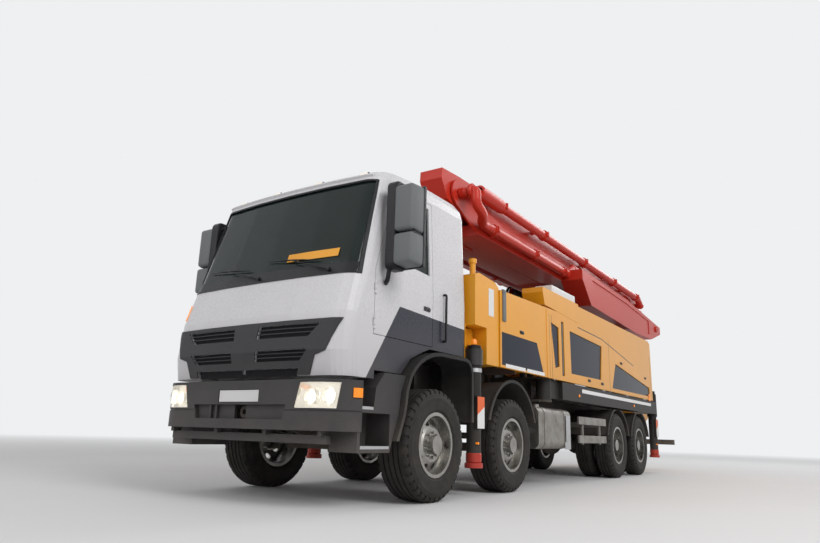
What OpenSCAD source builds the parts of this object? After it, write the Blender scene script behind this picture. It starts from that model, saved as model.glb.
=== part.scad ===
// Truck-mounted concrete pump: a four-axle forward-control lorry with two steered front axles,
// a folded five-section placing boom, swing-out and telescopic legs, and a rear hopper.
// Millimetres. X points forward, Y to the left and Z up. The origin is on the ground, at the
// middle of the outline. Distances "back" are measured from the bumper's front face.

/* [Overall] */
// Length from the bumper face to the rear edge of the hopper
overall_l = 11900; // [11700:50:12300]
// Half of the body's width, at the panels and bumper
body_y = 1250; // [1200:5:1275]

/* [Wheels and axles] */
// First steered axle, back from the bumper face
axle_1 = 1440; // [1400:10:1470]
// Second steered axle, back from the bumper face
axle_2 = 3140; // [3110:10:3200]
// First driven axle, back from the bumper face
axle_3 = 7320; // [7100:10:7350]
// Second driven axle, back from the bumper face
axle_4 = 8670; // [8600:10:8800]
// Tyre radius
tyre_r = 530; // [500:5:540]
// Width of a steered wheel's tyre
steer_tyre_w = 370; // [320:5:385]
// Width of one twin tyre
twin_tyre_w = 285; // [250:5:290]
// Gap between the twin tyres
twin_gap = 50; // [30:5:60]
// Rim radius at the bead seat
rim_r = 286; // [276:2:296]
// Distance of the tyres' outer faces from the middle
tyre_out = 1240; // [1220:5:1245]
// Steering axis, out from the middle
kingpin_y = 930; // [915:5:945]

/* [Chassis] */
// Middle of each main rail, out from the middle
rail_y = 380; // [360:5:400]
// Rail flange width
rail_w = 75; // [60:5:90]
// Top of the main rails
rail_top = 1050; // [1030:5:1060]
// Depth of the main rails
rail_h = 270; // [220:5:290]
// Wheel arch radius over the second axle
arch_2_r = 625; // [620:5:640]

/* [Cab] */
// Half width of the cab
cab_y = 1150; // [1120:5:1170]
// Rear wall of the cab, back from the bumper face
cab_back = 2140; // [2100:5:2150]
// Thickness of the cab's walls and doors
cab_wall = 48; // [40:2:60]
// Gap round the doors
door_gap = 6; // [5.5:0.5:9]
// Thickness of the glass
glass_t = 8; // [6:1:10]

/* [Body] */
// Thickness of the side panels
panel_t = 45; // [30:5:60]
// Lower edge of the side panels
panel_low = 1410; // [1405:5:1430]

/* [Boom] */
// Slewing axis, back from the bumper face
slew_d = 3100; // [3060:10:3130]
// Boom foot pin, back from the bumper face
pin_a_d = 3150; // [3120:10:3170]
// Height of the boom foot pin
pin_a_z = 3300; // [3290:5:3320]
// Pin between the first and second arms, back from the bumper face
pin_b_d = 11450; // [11400:10:11480]
// Height of that pin
pin_b_z = 3150; // [3130:10:3170]
// Pin between the second and third arms, back from the bumper face
pin_c_d = 2850; // [2830:10:2870]
// Pin between the third and fourth arms, back from the bumper face
pin_d_d = 11300; // [11250:10:11350]
// Pin between the fourth and fifth arms, back from the bumper face
pin_e_d = 3420; // [3400:10:3500]
// Height of the three upper pins
upper_pin_z = 3700; // [3690:5:3710]
// Side gap between neighbouring arms
arm_gap = 12; // [8:1:16]
// Radius of the concrete pipe
pipe_r = 68; // [60:1:72]

/* [Support legs] */
// Front legs, back from the bumper face
front_leg_d = 2320; // [2305:5:2335]
// Pivot of the rear swing legs, back from the bumper face
rear_pivot_d = 4450; // [4400:10:4550]
// Rear legs, back from the bumper face
rear_leg_d = 10080; // [10000:10:10150]
// Underside of a raised foot
foot_z = 290; // [250:5:320]
// Radius of a leg's tube
leg_r = 80; // [70:2:86]

/* [Hidden] */
$fn = 48;
fit = 0.3; // clearance where two pieces seat
run = 8; // clearance where two pieces pass
front_x = overall_l / 2;
hub_z = tyre_r;
rail_out = rail_y + rail_w / 2;
rail_in = rail_y - rail_w / 2;
rail_low = rail_top - rail_h;

// Colours
paint_white = [0.86, 0.86, 0.88];
paint_yellow = [0.93, 0.58, 0.05];
paint_red = [0.80, 0.13, 0.07];
dark_grey = [0.22, 0.23, 0.25];
black = [0.09, 0.09, 0.10];
steel = [0.70, 0.71, 0.73];
glass_tint = [0.25, 0.33, 0.32];

// Places and plain shapes
function x_at(d) = front_x - d;
function side_points(p) = [for (q = p) [front_x - q[0], q[1]]];
function inset_corner(a, b, c, w) = let (u = (b - a) / norm(b - a), v = (c - b) / norm(c - b),
    n = [-u[1], u[0]], m = [-v[1], v[0]]) b + w * (n + m) / (1 + n * m);
function inset(p, w) = [for (k = [0:len(p) - 1])
    inset_corner(p[(k + len(p) - 1) % len(p)], p[k], p[(k + 1) % len(p)], w)];
function arc(c, r, a0, a1, n) = [for (k = [0:n]) let (a = a0 + (a1 - a0) * k / n)
    c + r * [cos(a), sin(a)]];

// A plate whose outline is drawn from the side, as distance back and height
module side(p, y0, y1) {
    translate([0, y1, 0]) rotate([90, 0, 0]) linear_extrude(y1 - y0) polygon(side_points(p));
}
// A block between two distances back
module block(d0, d1, y0, y1, z0, z1) {
    translate([x_at(d1), y0, z0]) cube([d1 - d0, y1 - y0, z1 - z0]);
}
module round_y(d, z, r, y0, y1) {
    translate([x_at(d), y1, z]) rotate([90, 0, 0]) cylinder(r = r, h = y1 - y0);
}
module round_x(d0, d1, y, z, r) {
    translate([x_at(d1), y, z]) rotate([0, 90, 0]) cylinder(r = r, h = d1 - d0);
}
module round_z(d, y, r, z0, z1) {
    translate([x_at(d), y, z0]) cylinder(r = r, h = z1 - z0);
}
// A round bar between two points given as [distance back, y, z]
module bar(a, b, r) {
    v = [a[0] - b[0], b[1] - a[1], b[2] - a[2]];
    l = norm(v);
    translate([x_at(a[0]), a[1], a[2]]) rotate([0, acos(v[2] / l), atan2(v[1], v[0])])
        cylinder(r = r, h = l);
}
// The left piece, or its mirror image on the right
module on_side(s) {
    if (s > 0) children();
    else mirror([0, 1, 0]) children();
}
module both_sides() {
    on_side(1) children();
    on_side(-1) children();
}

// Air slot in the bumper, with the towing jaw at its middle
slot_low = 715;
slot_high = 840;
tow_z = (slot_low + slot_high) / 2;

// Chassis
cross_members = [330, 2050, 4300, 6300, 7990, 9500, 10250];
rail_end = 10350;
sub_low = rail_top;
sub_top = 1225;
sub_start = 3560;
lug_y = 1080; // pivot of the rear swing legs
lug_low = 1130;
lug_high = 1400;
lug_t = 32;
module frame() color(dark_grey) {
    both_sides() {
        difference() {
            block(260, rail_end, rail_in, rail_out, rail_low, rail_top);
            block(255, rail_end + 5, rail_in - 5, rail_out - 12, rail_low + 12, rail_top - 12);
        }
        block(sub_start, rail_end, rail_in, rail_out, sub_low, sub_top);
        // Brackets that hold a rear swing leg
        for (z = [lug_low - lug_t - 2, lug_high + 2])
            difference() {
                union() {
                    block(rear_pivot_d - 150, rear_pivot_d + 150, rail_in, lug_y, z, z + lug_t);
                    round_z(rear_pivot_d, lug_y, 110, z, z + lug_t);
                }
                round_z(rear_pivot_d, lug_y, 45 + fit, z - 5, z + lug_t + 5);
            }
        block(rear_pivot_d - 150, rear_pivot_d + 150, rail_in, lug_y - 260, lug_low - 2,
            lug_high + 2);
        // Hangers for the bogie springs
        block(axle_3 + 560, axle_4 - 560, rail_in, rail_out + 40, bogie_top + fit, rail_low);
        // Rests of the cab's floor
        block(600, 680, rail_in, rail_out, rail_top - 1, cab_step - fit);
        block(1980, 2060, rail_in, rail_out, rail_top - 1, cab_floor - fit);
    }
    for (d = cross_members)
        block(d - 60, d + 60, 11 - rail_out, rail_out - 11, rail_low + 20, rail_top - 20);
    // Rear underrun bar and its arms below the hopper
    block(guard_rear - guard_h, guard_rear, -body_y + 90, body_y - 90, guard_low,
        guard_low + guard_h);
    both_sides() {
        block(rail_end - 90, guard_rear - 10, rail_in, rail_out, guard_low + 10, guard_low + 90);
        block(rail_end - 90, rail_end, rail_in, rail_out, guard_low + 10, rail_low + 5);
    }
    // Front cross member with the towing jaw
    difference() {
        union() {
            block(200, 270, -rail_out, rail_out, rail_low - 60, rail_top - 60);
            round_x(90, 205, 0, tow_z, 55);
        }
        round_x(80, 190, 0, tow_z, tow_r);
    }
}
guard_rear = overall_l - 60;
guard_low = 540;
guard_h = 110;
tow_r = 24; // socket of the front towing jaw

engine_start = 860;
engine_end = 1900;
module engine_block() color(steel) {
    block(engine_start, engine_end, -rail_in + 60, rail_in - 60, rail_low - 20, cab_floor - 50);
    // Feet on the rails
    for (d = [engine_start + 60, engine_end - 180])
        block(d, d + 120, -rail_out, rail_out, rail_top + fit, rail_top + 70);
}

// Bumper, wrapped round both corners, with recesses for lamps, plate and air
bumper_low = 630;
bumper_top = 1050;
bumper_wrap = 270;
bumper_corner = 420;
module bumper_plan(i) {
    flat_y = body_y - bumper_corner;
    intersection() {
        union() {
            for (s = [-1, 1])
                translate([x_at(bumper_corner), s * flat_y]) circle(bumper_corner - i);
            translate([x_at(bumper_wrap), -flat_y]) square([bumper_wrap - i, 2 * flat_y]);
        }
        translate([x_at(bumper_wrap), -body_y]) square([bumper_wrap + 20, 2 * body_y]);
    }
}
slot_y = 600;
lamp_low = 812;
lamp_high = 1025;
lamp_shape = [[700, lamp_low], [1092, lamp_low], [1117, lamp_high], [755, lamp_high]];
lamp_depth = 150;
module lamp_outline(g) along_x(-10, lamp_depth + g) polygon(inset(lamp_shape, -g));
module bumper() color(dark_grey) {
    difference() {
        translate([0, 0, bumper_low]) linear_extrude(bumper_top - bumper_low) bumper_plan(0);
        translate([-5, 0, bumper_low - 5]) linear_extrude(bumper_top - bumper_low + 10)
            bumper_plan(70);
        block(bumper_wrap - 10, bumper_wrap + 5, -body_y + 110, body_y - 110, bumper_low - 5,
            bumper_top + 5);
        both_sides() lamp_outline(0);
        // Air slot, plate recess and the towing opening
        along_x(-5, 45) polygon([[-slot_y + 30, slot_low], [slot_y - 30, slot_low],
            [slot_y, slot_high], [-slot_y, slot_high]]);
        block(-5, 14, -265, 265, 858, 972);
        block(-5, 80, -75, 75, slot_low, slot_high);
        // Shallow line that runs right round below the lamps
        translate([0, 0, 785]) linear_extrude(14) difference() {
            bumper_plan(-5);
            bumper_plan(8);
        }
    }
    // Upright bars in the air slot
    for (y = [-395, -312])
        block(18, 46, y, y + 22, slot_low - 1, slot_high + 1);
    both_sides() {
        // Brackets to the front cross member
        block(65, 200 - fit, rail_in, rail_out, 860, 960);
        // Underrun bar and steps
        block(90, 150, 0, 1000, 525, 595);
        for (y = [300, 940])
            block(50, 140, y, y + 40, 590, bumper_low + 25);
        step_box();
    }
}
// Entry steps between the bumper and the front wheel's guard
step_low = 462;
step_mid = 815;
step_out = cab_y + 50;
module step_box() difference() {
    side([[bumper_wrap - 25, step_low], [700, step_low], [738, 572], [826, 790], [854, 985],
        [925, 1145], [530, 1145], [510, bumper_top], [bumper_wrap - 25, bumper_top]],
        guard_in + 50, step_out);
    block(bumper_wrap + 12, 690, guard_in + 90, step_out + 5, step_low + 30, step_mid - 25);
    side([[bumper_wrap + 12, step_mid], [450, step_mid], [478, 1010], [600, 1150],
        [bumper_wrap + 12, 1150]], guard_in + 90, step_out + 5);
}

module lamps() color([0.95, 0.93, 0.85]) both_sides() {
    intersection() {
        translate([0, 0, bumper_low]) linear_extrude(bumper_top - bumper_low) difference() {
            bumper_plan(12);
            bumper_plan(70);
        }
        lamp_outline(-fit);
    }
    // Amber lamp at the bumper's end
    intersection() {
        translate([0, 0, 905]) linear_extrude(80) difference() {
            bumper_plan(-10);
            bumper_plan(-fit);
        }
        block(185, bumper_wrap - 8, 1000, body_y, 900, 1000);
    }
    // Rear lamps on the underrun bar
    for (y = [560, 700, 840])
        round_x(guard_rear + fit, guard_rear + 28, y, guard_low + guard_h / 2, 45);
}

// Axles: steered beams with kingpin bosses, driven axles with a housing, and their springs
boss_r = 48;
boss_low = hub_z - 60;
boss_high = hub_z + 60;
spring_y = rail_y;
spindle_r = 45;
hub_in = 690; // inner face of a driven wheel's hub
module steer_axle(d) {
    both_sides() {
        difference() {
            round_z(d, kingpin_y, boss_r, boss_low, boss_high);
            round_z(d, kingpin_y, pin_r + fit, boss_low - 5, boss_high + 5);
        }
        side([[d - 45, boss_low + 8], [d + 45, boss_low + 8], [d + 45, boss_high - 8],
            [d - 45, boss_high - 8]], 700, kingpin_y - boss_r + 6);
        block(d - 50, d + 50, 0, 705, boss_low - 30, boss_high - 50);
        spring(d, boss_high - 50);
    }
}
// Leaf spring between two hangers under a rail
spring_half = 560;
module spring(d, seat_z) {
    block(d - 70, d + 70, spring_y - 42, spring_y + 42, seat_z - 1, seat_z + 75);
    for (leaf = [[spring_half, 0], [400, 24], [260, 48]])
        side([[d - leaf[0], seat_z + 110 - leaf[1] + 20], [d, seat_z + 70 - leaf[1]],
            [d + leaf[0], seat_z + 110 - leaf[1] + 20], [d + leaf[0], seat_z + 90 - leaf[1] + 20],
            [d, seat_z + 48 - leaf[1]], [d - leaf[0], seat_z + 90 - leaf[1] + 20]],
            spring_y - 35, spring_y + 35);
    for (e = [-1, 1])
        block(d + e * (spring_half - 30) - 30, d + e * (spring_half - 30) + 30, spring_y - 35,
            spring_y + 35, seat_z + 105, rail_low - fit);
}
module driven_axle(d) {
    translate([x_at(d), 0, hub_z]) sphere(200);
    both_sides() {
        round_y(d, hub_z, 78, 0, hub_in - fit);
        round_y(d, hub_z, spindle_r, hub_in - 5, tyre_out - 70);
        block(d - 60, d + 60, spring_y - 45, spring_y + 45, hub_z, hub_z + 100);
    }
}
bogie_mid = (axle_3 + axle_4) / 2;
bogie_top = hub_z + 180;
module axle_beams() color(black) {
    steer_axle(axle_1);
    steer_axle(axle_2);
    driven_axle(axle_3);
    driven_axle(axle_4);
    // Bogie springs, from axle to axle under the trunnion
    both_sides()
        side([[axle_3 - 60, hub_z + 99], [axle_3 + 60, hub_z + 125], [bogie_mid, bogie_top],
            [axle_4 - 60, hub_z + 125], [axle_4 + 60, hub_z + 99], [axle_4 + 60, hub_z + 60],
            [bogie_mid, hub_z + 110], [axle_3 - 60, hub_z + 60]], spring_y - 40, spring_y + 40);
}

// Steering knuckle: two ears on the kingpin, a plate and the wheel's spindle
pin_r = 24;
ear_t = 42;
hub_face = 1000; // inner face of a steered wheel's hub
module knuckle(d) color(dark_grey) {
    round_z(d, kingpin_y, pin_r, boss_low - run - 1, boss_high + run + 1);
    for (z = [boss_low - run - ear_t, boss_high + run]) {
        round_z(d, kingpin_y, boss_r, z, z + ear_t);
        block(d - boss_r, d + boss_r, kingpin_y, hub_face - fit, z, z + ear_t);
    }
    block(d - boss_r, d + boss_r, kingpin_y + boss_r + run, hub_face - fit,
        boss_low - run - ear_t, boss_high + run + ear_t);
    round_y(d, hub_z, spindle_r, hub_face - 5, tyre_out - 60);
}

// Tyre section for a wheel of width w, drawn as radius and distance from its middle plane
bead_h = 30;
shoulder_r = 34;
module tyre_section(w) {
    half = w / 2;
    bead = half - 28;
    r0 = rim_r + fit;
    wall = r0 + 0.45 * (tyre_r - r0);
    polygon(concat(
        [[r0, -bead], [rim_r + flange_h + 3, -bead], [r0 + bead_h, -bead - 8],
            [wall - 45, -half + 3]],
        [[wall, -half], [wall + 55, -half + 3]],
        arc([tyre_r - shoulder_r, -half + shoulder_r + 16], shoulder_r, -118, 0, 5),
        arc([tyre_r - shoulder_r, half - shoulder_r - 16], shoulder_r, 0, 118, 5),
        [[wall + 55, half - 3], [wall, half]],
        [[wall - 45, half - 3], [r0 + bead_h, bead + 8], [rim_r + flange_h + 3, bead],
            [r0, bead]]));
}
module tyre_at(d, y, w) {
    translate([x_at(d), y, hub_z]) rotate([90, 0, 0]) rotate_extrude($fn = 96) tyre_section(w);
}
steer_tyre_y = tyre_out - steer_tyre_w / 2;
twin_out_y = tyre_out - twin_tyre_w / 2;
twin_in_y = tyre_out - 1.5 * twin_tyre_w - twin_gap;
module steer_tyre(d) color(black) tyre_at(d, steer_tyre_y, steer_tyre_w);
module twin_tyre(d) color(black) {
    tyre_at(d, twin_out_y, twin_tyre_w);
    tyre_at(d, twin_in_y, twin_tyre_w);
}

// Rims: a barrel with a flange at each edge, a dished disc with hand holes, and the hub
rim_t = 12;
flange_h = 20;
hand_holes = 10;
hand_hole_r = 30;
hand_hole_at = 212;
disc_hub_r = 142;
// Barrel section from y0 to y1, with bead seats where the tyre's beads press
module barrel(y0, y1) {
    rotate_extrude($fn = 96) polygon([[rim_r - rim_t, y0 - 9], [rim_r + flange_h, y0 - 9],
        [rim_r + flange_h, y0 - fit], [rim_r, y0 - fit], [rim_r, y1 + fit],
        [rim_r + flange_h, y1 + fit], [rim_r + flange_h, y1 + 9], [rim_r - rim_t, y1 + 9]]);
}
module disc(y_edge, y_face, bore) {
    difference() {
        rotate_extrude($fn = 96) polygon([[bore, y_face], [disc_hub_r + 20, y_face],
            [rim_r - rim_t - 18, y_edge], [rim_r - rim_t + 1, y_edge],
            [rim_r - rim_t + 1, y_edge - 14], [rim_r - rim_t - 24, y_edge - 14],
            [disc_hub_r + 14, y_face - 15], [bore, y_face - 15]]);
        for (k = [0:hand_holes - 1])
            rotate(360 * k / hand_holes) translate([hand_hole_at, 0, -300])
                cylinder(r = hand_hole_r, h = 600);
    }
}
nut_count = 10;
nut_at = 118;
module nuts(z) {
    for (k = [0:nut_count - 1])
        rotate(360 * (k + 0.5) / nut_count) translate([nut_at, 0, z - 1]) cylinder(r = 14, h = 26);
}
module along_y(d, y) {
    translate([x_at(d), y, hub_z]) rotate([-90, 0, 0]) children();
}
bead_y = steer_tyre_w / 2 - 28;
module steer_rim(d) color(steel) {
    along_y(d, steer_tyre_y) {
        barrel(-bead_y, bead_y);
        disc(60, 118, 60);
        nuts(118);
    }
    // Hub on the spindle, with a cap
    difference() {
        union() {
            round_y(d, hub_z, 132, hub_face, steer_tyre_y + 104);
            round_y(d, hub_z, 88, hub_face, tyre_out - 5);
        }
        round_y(d, hub_z, spindle_r + fit, hub_face - 5, tyre_out - 50);
    }
}
twin_bead_y = twin_tyre_w / 2 - 28;
disc_plane = (twin_out_y + twin_in_y) / 2;
module twin_rim(d) color(steel) {
    along_y(d, twin_out_y) {
        barrel(-twin_bead_y, twin_bead_y);
        disc(-70, disc_plane - twin_out_y + 16, 90);
    }
    along_y(d, twin_in_y) barrel(-twin_bead_y, twin_bead_y);
    // The inner rim's disc is bolted back to back with the outer one
    along_y(d, disc_plane) mirror([0, 0, 1]) disc(twin_out_y - disc_plane - 72, 15, 90);
    along_y(d, disc_plane + 16) nuts(0);
    difference() {
        union() {
            round_y(d, hub_z, 138, hub_in, disc_plane + 2);
            round_y(d, hub_z, 92, disc_plane, tyre_out - 40);
        }
        round_y(d, hub_z, spindle_r + fit, hub_in - 5, tyre_out - 60);
    }
}

// Mudguards: arches over each wheel, held from the rails by bars
guard_t = 14;
guard_in = 850;
twin_guard_in = 560;
arch_z = hub_z + 95;
twin_arch_r = tyre_r + 60;
twin_flat = lug_low - 14; // flat top that lets the swing legs pass
bar_r = 22;
module arch(d, z, r, y_in, low_front, low_back) {
    difference() {
        union() {
            round_y(d, z, r + guard_t, y_in, body_y - 4, $fn = 240);
            round_y(d, z, r + guard_t + 22, body_y - 24, body_y - 4, $fn = 240);
        }
        round_y(d, z, r, y_in - 5, body_y + 5, $fn = 240);
        block(d - r - 100, d, 0, 2000, -500, low_front);
        block(d, d + r + 100, 0, 2000, -500, low_back);
    }
}
// Bar from a rail to an arch of radius r about height z0, on the side e
module guard_bar(d, z0, r, z, y_in, e)
    round_y(d + e * sqrt(pow(r + guard_t / 2, 2) - pow(z - z0, 2)), z, bar_r,
        rail_out + fit, y_in + 30);
// Front guard: round at the front, flat on top and upright behind
guard_line = [[724, 480], [747, 572], [835, 789], [858, 890], [878, 1015], [936, 1153],
    [1000, 1228], [1081, 1297], [1180, 1350], [1286, 1388], [1380, 1410], [1477, 1421],
    [1967, 1421], [2050, 1405], [2110, 1350], [2140, 1260], [2150, 480]];
module guard_skin(t, y_in) difference() {
    side(guard_line, y_in, body_y - 4);
    side(concat([[720, 470]], inset(guard_line, -t), [[2150, 470]]), y_in - 5, body_y + 5);
    block(600, 1000, 0, 2000, 400, 560);
    block(1900, 2200, 0, 2000, 400, 760);
}
module mudguards() color(black) both_sides() {
    guard_skin(guard_t, guard_in);
    guard_skin(guard_t + 22, body_y - 24);
    for (d = [866, 2143])
        round_y(d, 900, bar_r, rail_out + fit, guard_in + 30);
    arch(axle_2, arch_z, arch_2_r, guard_in, 800, 800);
    difference() {
        for (d = [axle_3, axle_4])
            arch(d, hub_z, twin_arch_r, twin_guard_in, hub_z + 160, hub_z + 160);
        block(axle_3 - 900, axle_4 + 900, 0, 2000, twin_flat, 3000);
    }
    for (e = [-1, 1]) {
        guard_bar(axle_2, arch_z, arch_2_r, 900, guard_in, e);
        guard_bar(axle_3, hub_z, twin_arch_r, rail_low + 40, twin_guard_in, e);
        guard_bar(axle_4, hub_z, twin_arch_r, rail_low + 40, twin_guard_in, e);
    }
}

// Tanks hung on the rails between the second and third axles
tank_start = 4000;
tank_end = 5150;
tank_low = 480;
tank_high = 1020;
tank_corner = 90;
module rounded_yz(y0, y1, z0, z1, r) {
    for (y = [y0 + r, y1 - r], z = [z0 + r, z1 - r])
        translate([y, z]) circle(r);
    translate([y0 + r, z0]) square([y1 - y0 - 2 * r, z1 - z0]);
    translate([y0, z0 + r]) square([y1 - y0, z1 - z0 - 2 * r]);
}
module along_x(d0, d1) {
    translate([x_at(d1), 0, 0]) rotate([90, 0, 90]) linear_extrude(d1 - d0) children();
}
module side_tanks() color([0.45, 0.43, 0.40]) {
    // Fuel tank on the left, with straps, brackets and a cap
    along_x(tank_start, tank_end)
        rounded_yz(rail_out + 60, body_y - 60, tank_low, tank_high, tank_corner);
    for (d = [tank_start + 220, tank_end - 220]) {
        along_x(d - 30, d + 30) difference() {
            rounded_yz(rail_out + 54, body_y - 54, tank_low - 6, tank_high + 6, tank_corner + 6);
            rounded_yz(rail_out + 61, body_y - 61, tank_low + 1, tank_high - 1, tank_corner - 1);
        }
        block(d - 30, d + 30, rail_out + fit, rail_out + 61, tank_low + 100, tank_high - 20);
    }
    round_z(tank_start + 120, body_y - 150, 45, tank_high - 5, tank_high + 30);
    // Air bottles and battery case on the right
    mirror([0, 1, 0]) {
        block(tank_start, tank_start + 560, rail_out + 80, body_y - 70, tank_low + 60, tank_high - 30);
        for (z = [tank_low + 150, tank_high - 130])
            round_x(tank_start + 559, tank_end, body_y - 230, z, 118);
        for (d = [tank_start + 200, tank_end - 150])
            block(d - 30, d + 30, rail_out + fit, rail_out + 300, tank_high - 240, tank_high - 150);
        block(tank_end - 180, tank_end - 120, rail_out + 240, body_y - 220, tank_high - 250,
            tank_high - 140);
    }
    // Side guard rails, from the tanks to the driven wheels
    both_sides() {
        for (z = [560, 830])
            block(tank_end + 250, axle_3 - 660, body_y - 45, body_y - 20, z, z + 110);
        for (d = [tank_end + 480, axle_3 - 900])
            block(d - 25, d + 25, rail_out + fit, body_y - 44, 800, 860);
        for (d = [tank_end + 480, axle_3 - 900])
            block(d - 25, d + 25, body_y - 70, body_y - 44, 540, 940);
    }
}

// Boom base: a box tower on the rails, with the sleeves of the front legs' beams
base_y = 620;
base_start = 2560;
base_end = sub_start - fit;
base_top = 2330;
ring_r = 500;
ring_top = 2390;
beam_w = 200; // front beam, along the vehicle
beam_h = 158;
sleeve_t = 12;
sleeve_gap = 6;
left_beam_low = 1450;
right_beam_low = left_beam_low + beam_h + 2 * sleeve_gap + sleeve_t;
sleeve_end = 1040;
sleeve_front = front_leg_d - beam_w / 2 - sleeve_gap - sleeve_t;
sleeve_rear = front_leg_d + beam_w / 2 + sleeve_gap + sleeve_t;
sleeve_low = left_beam_low - sleeve_gap - sleeve_t;
sleeve_high = right_beam_low + beam_h + sleeve_gap + sleeve_t;
module boom_base() color(paint_yellow) {
    difference() {
        union() {
            block(base_start, base_end, -base_y, base_y, rail_top + fit, base_top);
            block(sleeve_front, base_start + 1, -sleeve_end, sleeve_end, sleeve_low, sleeve_high);
            // Legs of the sleeve box, down to the rails
            both_sides()
                block(sleeve_front + 20, base_start + 1, rail_in, rail_out, rail_top + fit,
                    sleeve_low + 1);
        }
        for (z = [left_beam_low, right_beam_low])
            block(sleeve_front + sleeve_t, sleeve_rear - sleeve_t, -sleeve_end - 5, sleeve_end + 5,
                z - fit, z + beam_h + sleeve_gap);
        // Weight is saved inside the tower, which stays closed
        block(base_start + 90, base_end - 40, -base_y + 40, base_y - 40, rail_top + 40,
            base_top - 60);
        block(sleeve_rear, base_start + 91, -sleeve_end - 5, -base_y, sleeve_low - 5,
            sleeve_high + 5);
        block(sleeve_rear, base_start + 91, base_y, sleeve_end + 5, sleeve_low - 5,
            sleeve_high + 5);
    }
    difference() {
        round_z(slew_d, 0, ring_r, base_top - 1, ring_top);
        round_z(slew_d, 0, spigot_r + fit, base_top + 10, ring_top + 5);
    }
}
spigot_r = 300;

// Front legs: a beam that slides straight out, and a foot leg at its outer end
leg_y = 1150;
module front_beam(low) color(paint_yellow) {
    difference() {
        union() {
            block(front_leg_d - beam_w / 2, front_leg_d + beam_w / 2, 10 - sleeve_end,
                sleeve_end + 10, low, low + beam_h);
            // End plate and the leg's guide
            block(front_leg_d - 125, front_leg_d + 125, sleeve_end + run, sleeve_end + 22,
                left_beam_low - 30, sleeve_high - 10);
            block(front_leg_d - guide_r, front_leg_d + guide_r, sleeve_end + 21,
                leg_y, guide_low, guide_high);
            round_z(front_leg_d, leg_y, guide_r, guide_low, guide_high);
        }
        round_z(front_leg_d, leg_y, leg_r + fit, guide_low - 5, guide_high + 5);
    }
}
guide_r = leg_r + 18;
guide_low = 1380;
guide_high = 1560;
// Leg tube with its foot and the striped board in front of it
foot_r = 96;
module leg(d, y, top) {
    round_z(d, y, leg_r, foot_z + 60, top);
    round_z(d, y, foot_r, foot_z, foot_z + 45);
    round_z(d, y, foot_r - 24, foot_z + 44, foot_z + 61);
}
board_low = 700;
board_high = 1040;
module leg_board(d, y)
    block(d - leg_r, d + leg_r, y + leg_r - 30, y + leg_r + 8, board_low, board_high);
module front_leg() color(black) {
    leg(front_leg_d, leg_y, guide_high + 40);
    leg_board(front_leg_d, leg_y);
}

// Water and oil tanks that flank the boom base behind the cab
tank_y = base_y + 30;
wing_front = cab_back + 55;
wing_rear = 2780;
module water_tanks() color(paint_yellow) both_sides() {
    difference() {
        union() {
            side([[wing_front, sleeve_high + 12], [wing_rear, sleeve_high + 12],
                [wing_rear, 2350], [wing_rear - 90, 2400], [wing_front + 90, 2430],
                [wing_front, 2400]], tank_y, body_y - 20);
            // Apron behind the sleeve's mouth
            block(sleeve_rear + run, wing_rear, sleeve_end - 180, body_y - 20, panel_low,
                sleeve_high + 13);
        }
        // Recess round the beam's end plate
        block(front_leg_d - 150, front_leg_d + 150, sleeve_end - 20, body_y, 1300,
            sleeve_high + 12.5);
    }
    // Seats on the boom base
    block(base_start + 60, wing_rear - 20, base_y + fit, tank_y + 1, 1900, 2200);
    // Filler neck
    round_z(wing_front + 120, body_y - 120, 34, 2380, 2590);
    round_z(wing_front + 120, body_y - 120, 46, 2560, 2610);
}

// Side panels: a lower front part and a higher rear part, cut with window openings
post_d = 4250;
front_panel_top = 2330;
rear_panel_top = 2610;
panel_rear = 9760;
shelf_start = 4100;
shelf_end = 5500;
shelf_low = 2400;
shelf_high = 2640;
panel_out = body_y - 5;
panel_in = panel_out - panel_t;
window_1 = [[4370, 2190], [4660, 2150], [4660, 1600], [4500, 1560]];
window_2 = [[5100, 2170], [6580, 2120], [6480, 1560], [5120, 1540]];
window_3 = [[7310, 1910], [9530, 1650], [9560, 1480], [7070, 1470]];
lower_plate = [[2830, 1440], [4080, 1440], [3870, 1830], [2830, 1830]];
module panel_outline(y0, y1) {
    side([[wing_rear + 12, panel_low], [panel_rear, panel_low], [panel_rear, 2560],
        [panel_rear - 130, rear_panel_top], [shelf_end, rear_panel_top], [shelf_end, shelf_low],
        [post_d + 60, front_panel_top + 40], [wing_rear + 12, front_panel_top]], y0, y1);
}
module side_panel() {
    difference() {
        panel_outline(panel_in, panel_out);
        for (w = [window_1, window_2, window_3])
            side(w, panel_in - 5, panel_out + 5);
        side(lower_plate, panel_out - 12, panel_out + 5);
        // Slot between the two rear window fields
        block(4760, 4860, panel_out - 20, panel_out + 5, 1480, 2260);
        // Swage line that falls towards the rear
        side([[5450, 2268], [6590, 2238], [8450, 1978], [8450, 1994], [6590, 2254], [5450, 2284]],
            panel_out - 10, panel_out + 5);
    }
    // Post at the front of the rear part
    block(post_d - 45, post_d + 45, panel_out - 5, body_y, panel_low, front_panel_top + 20);
    // Shelf over the step up, with a box on it
    side([[shelf_start, shelf_high - 70], [shelf_start + 60, shelf_low], [shelf_end, shelf_low - 60],
        [shelf_end, shelf_high], [shelf_start, shelf_high]], panel_in - 260, body_y - 2);
    block(shelf_start + 420, shelf_end - 60, panel_in - 240, panel_out - 30, shelf_high - 1,
        shelf_high + 110);
    // Ribs that carry the panel from the deck's frames
    for (d = rib_places)
        block(d - 20, d + 20, rib_in, panel_in + 1, panel_low + 20, rib_top);
}
rib_places = [3700, 5600, 7000, 8400, 9600];
rib_in = 1010;
rib_top = 2080;
module side_panels_left() color(paint_yellow) side_panel();
module side_panels_right() color(paint_yellow) mirror([0, 1, 0]) side_panel();

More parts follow.
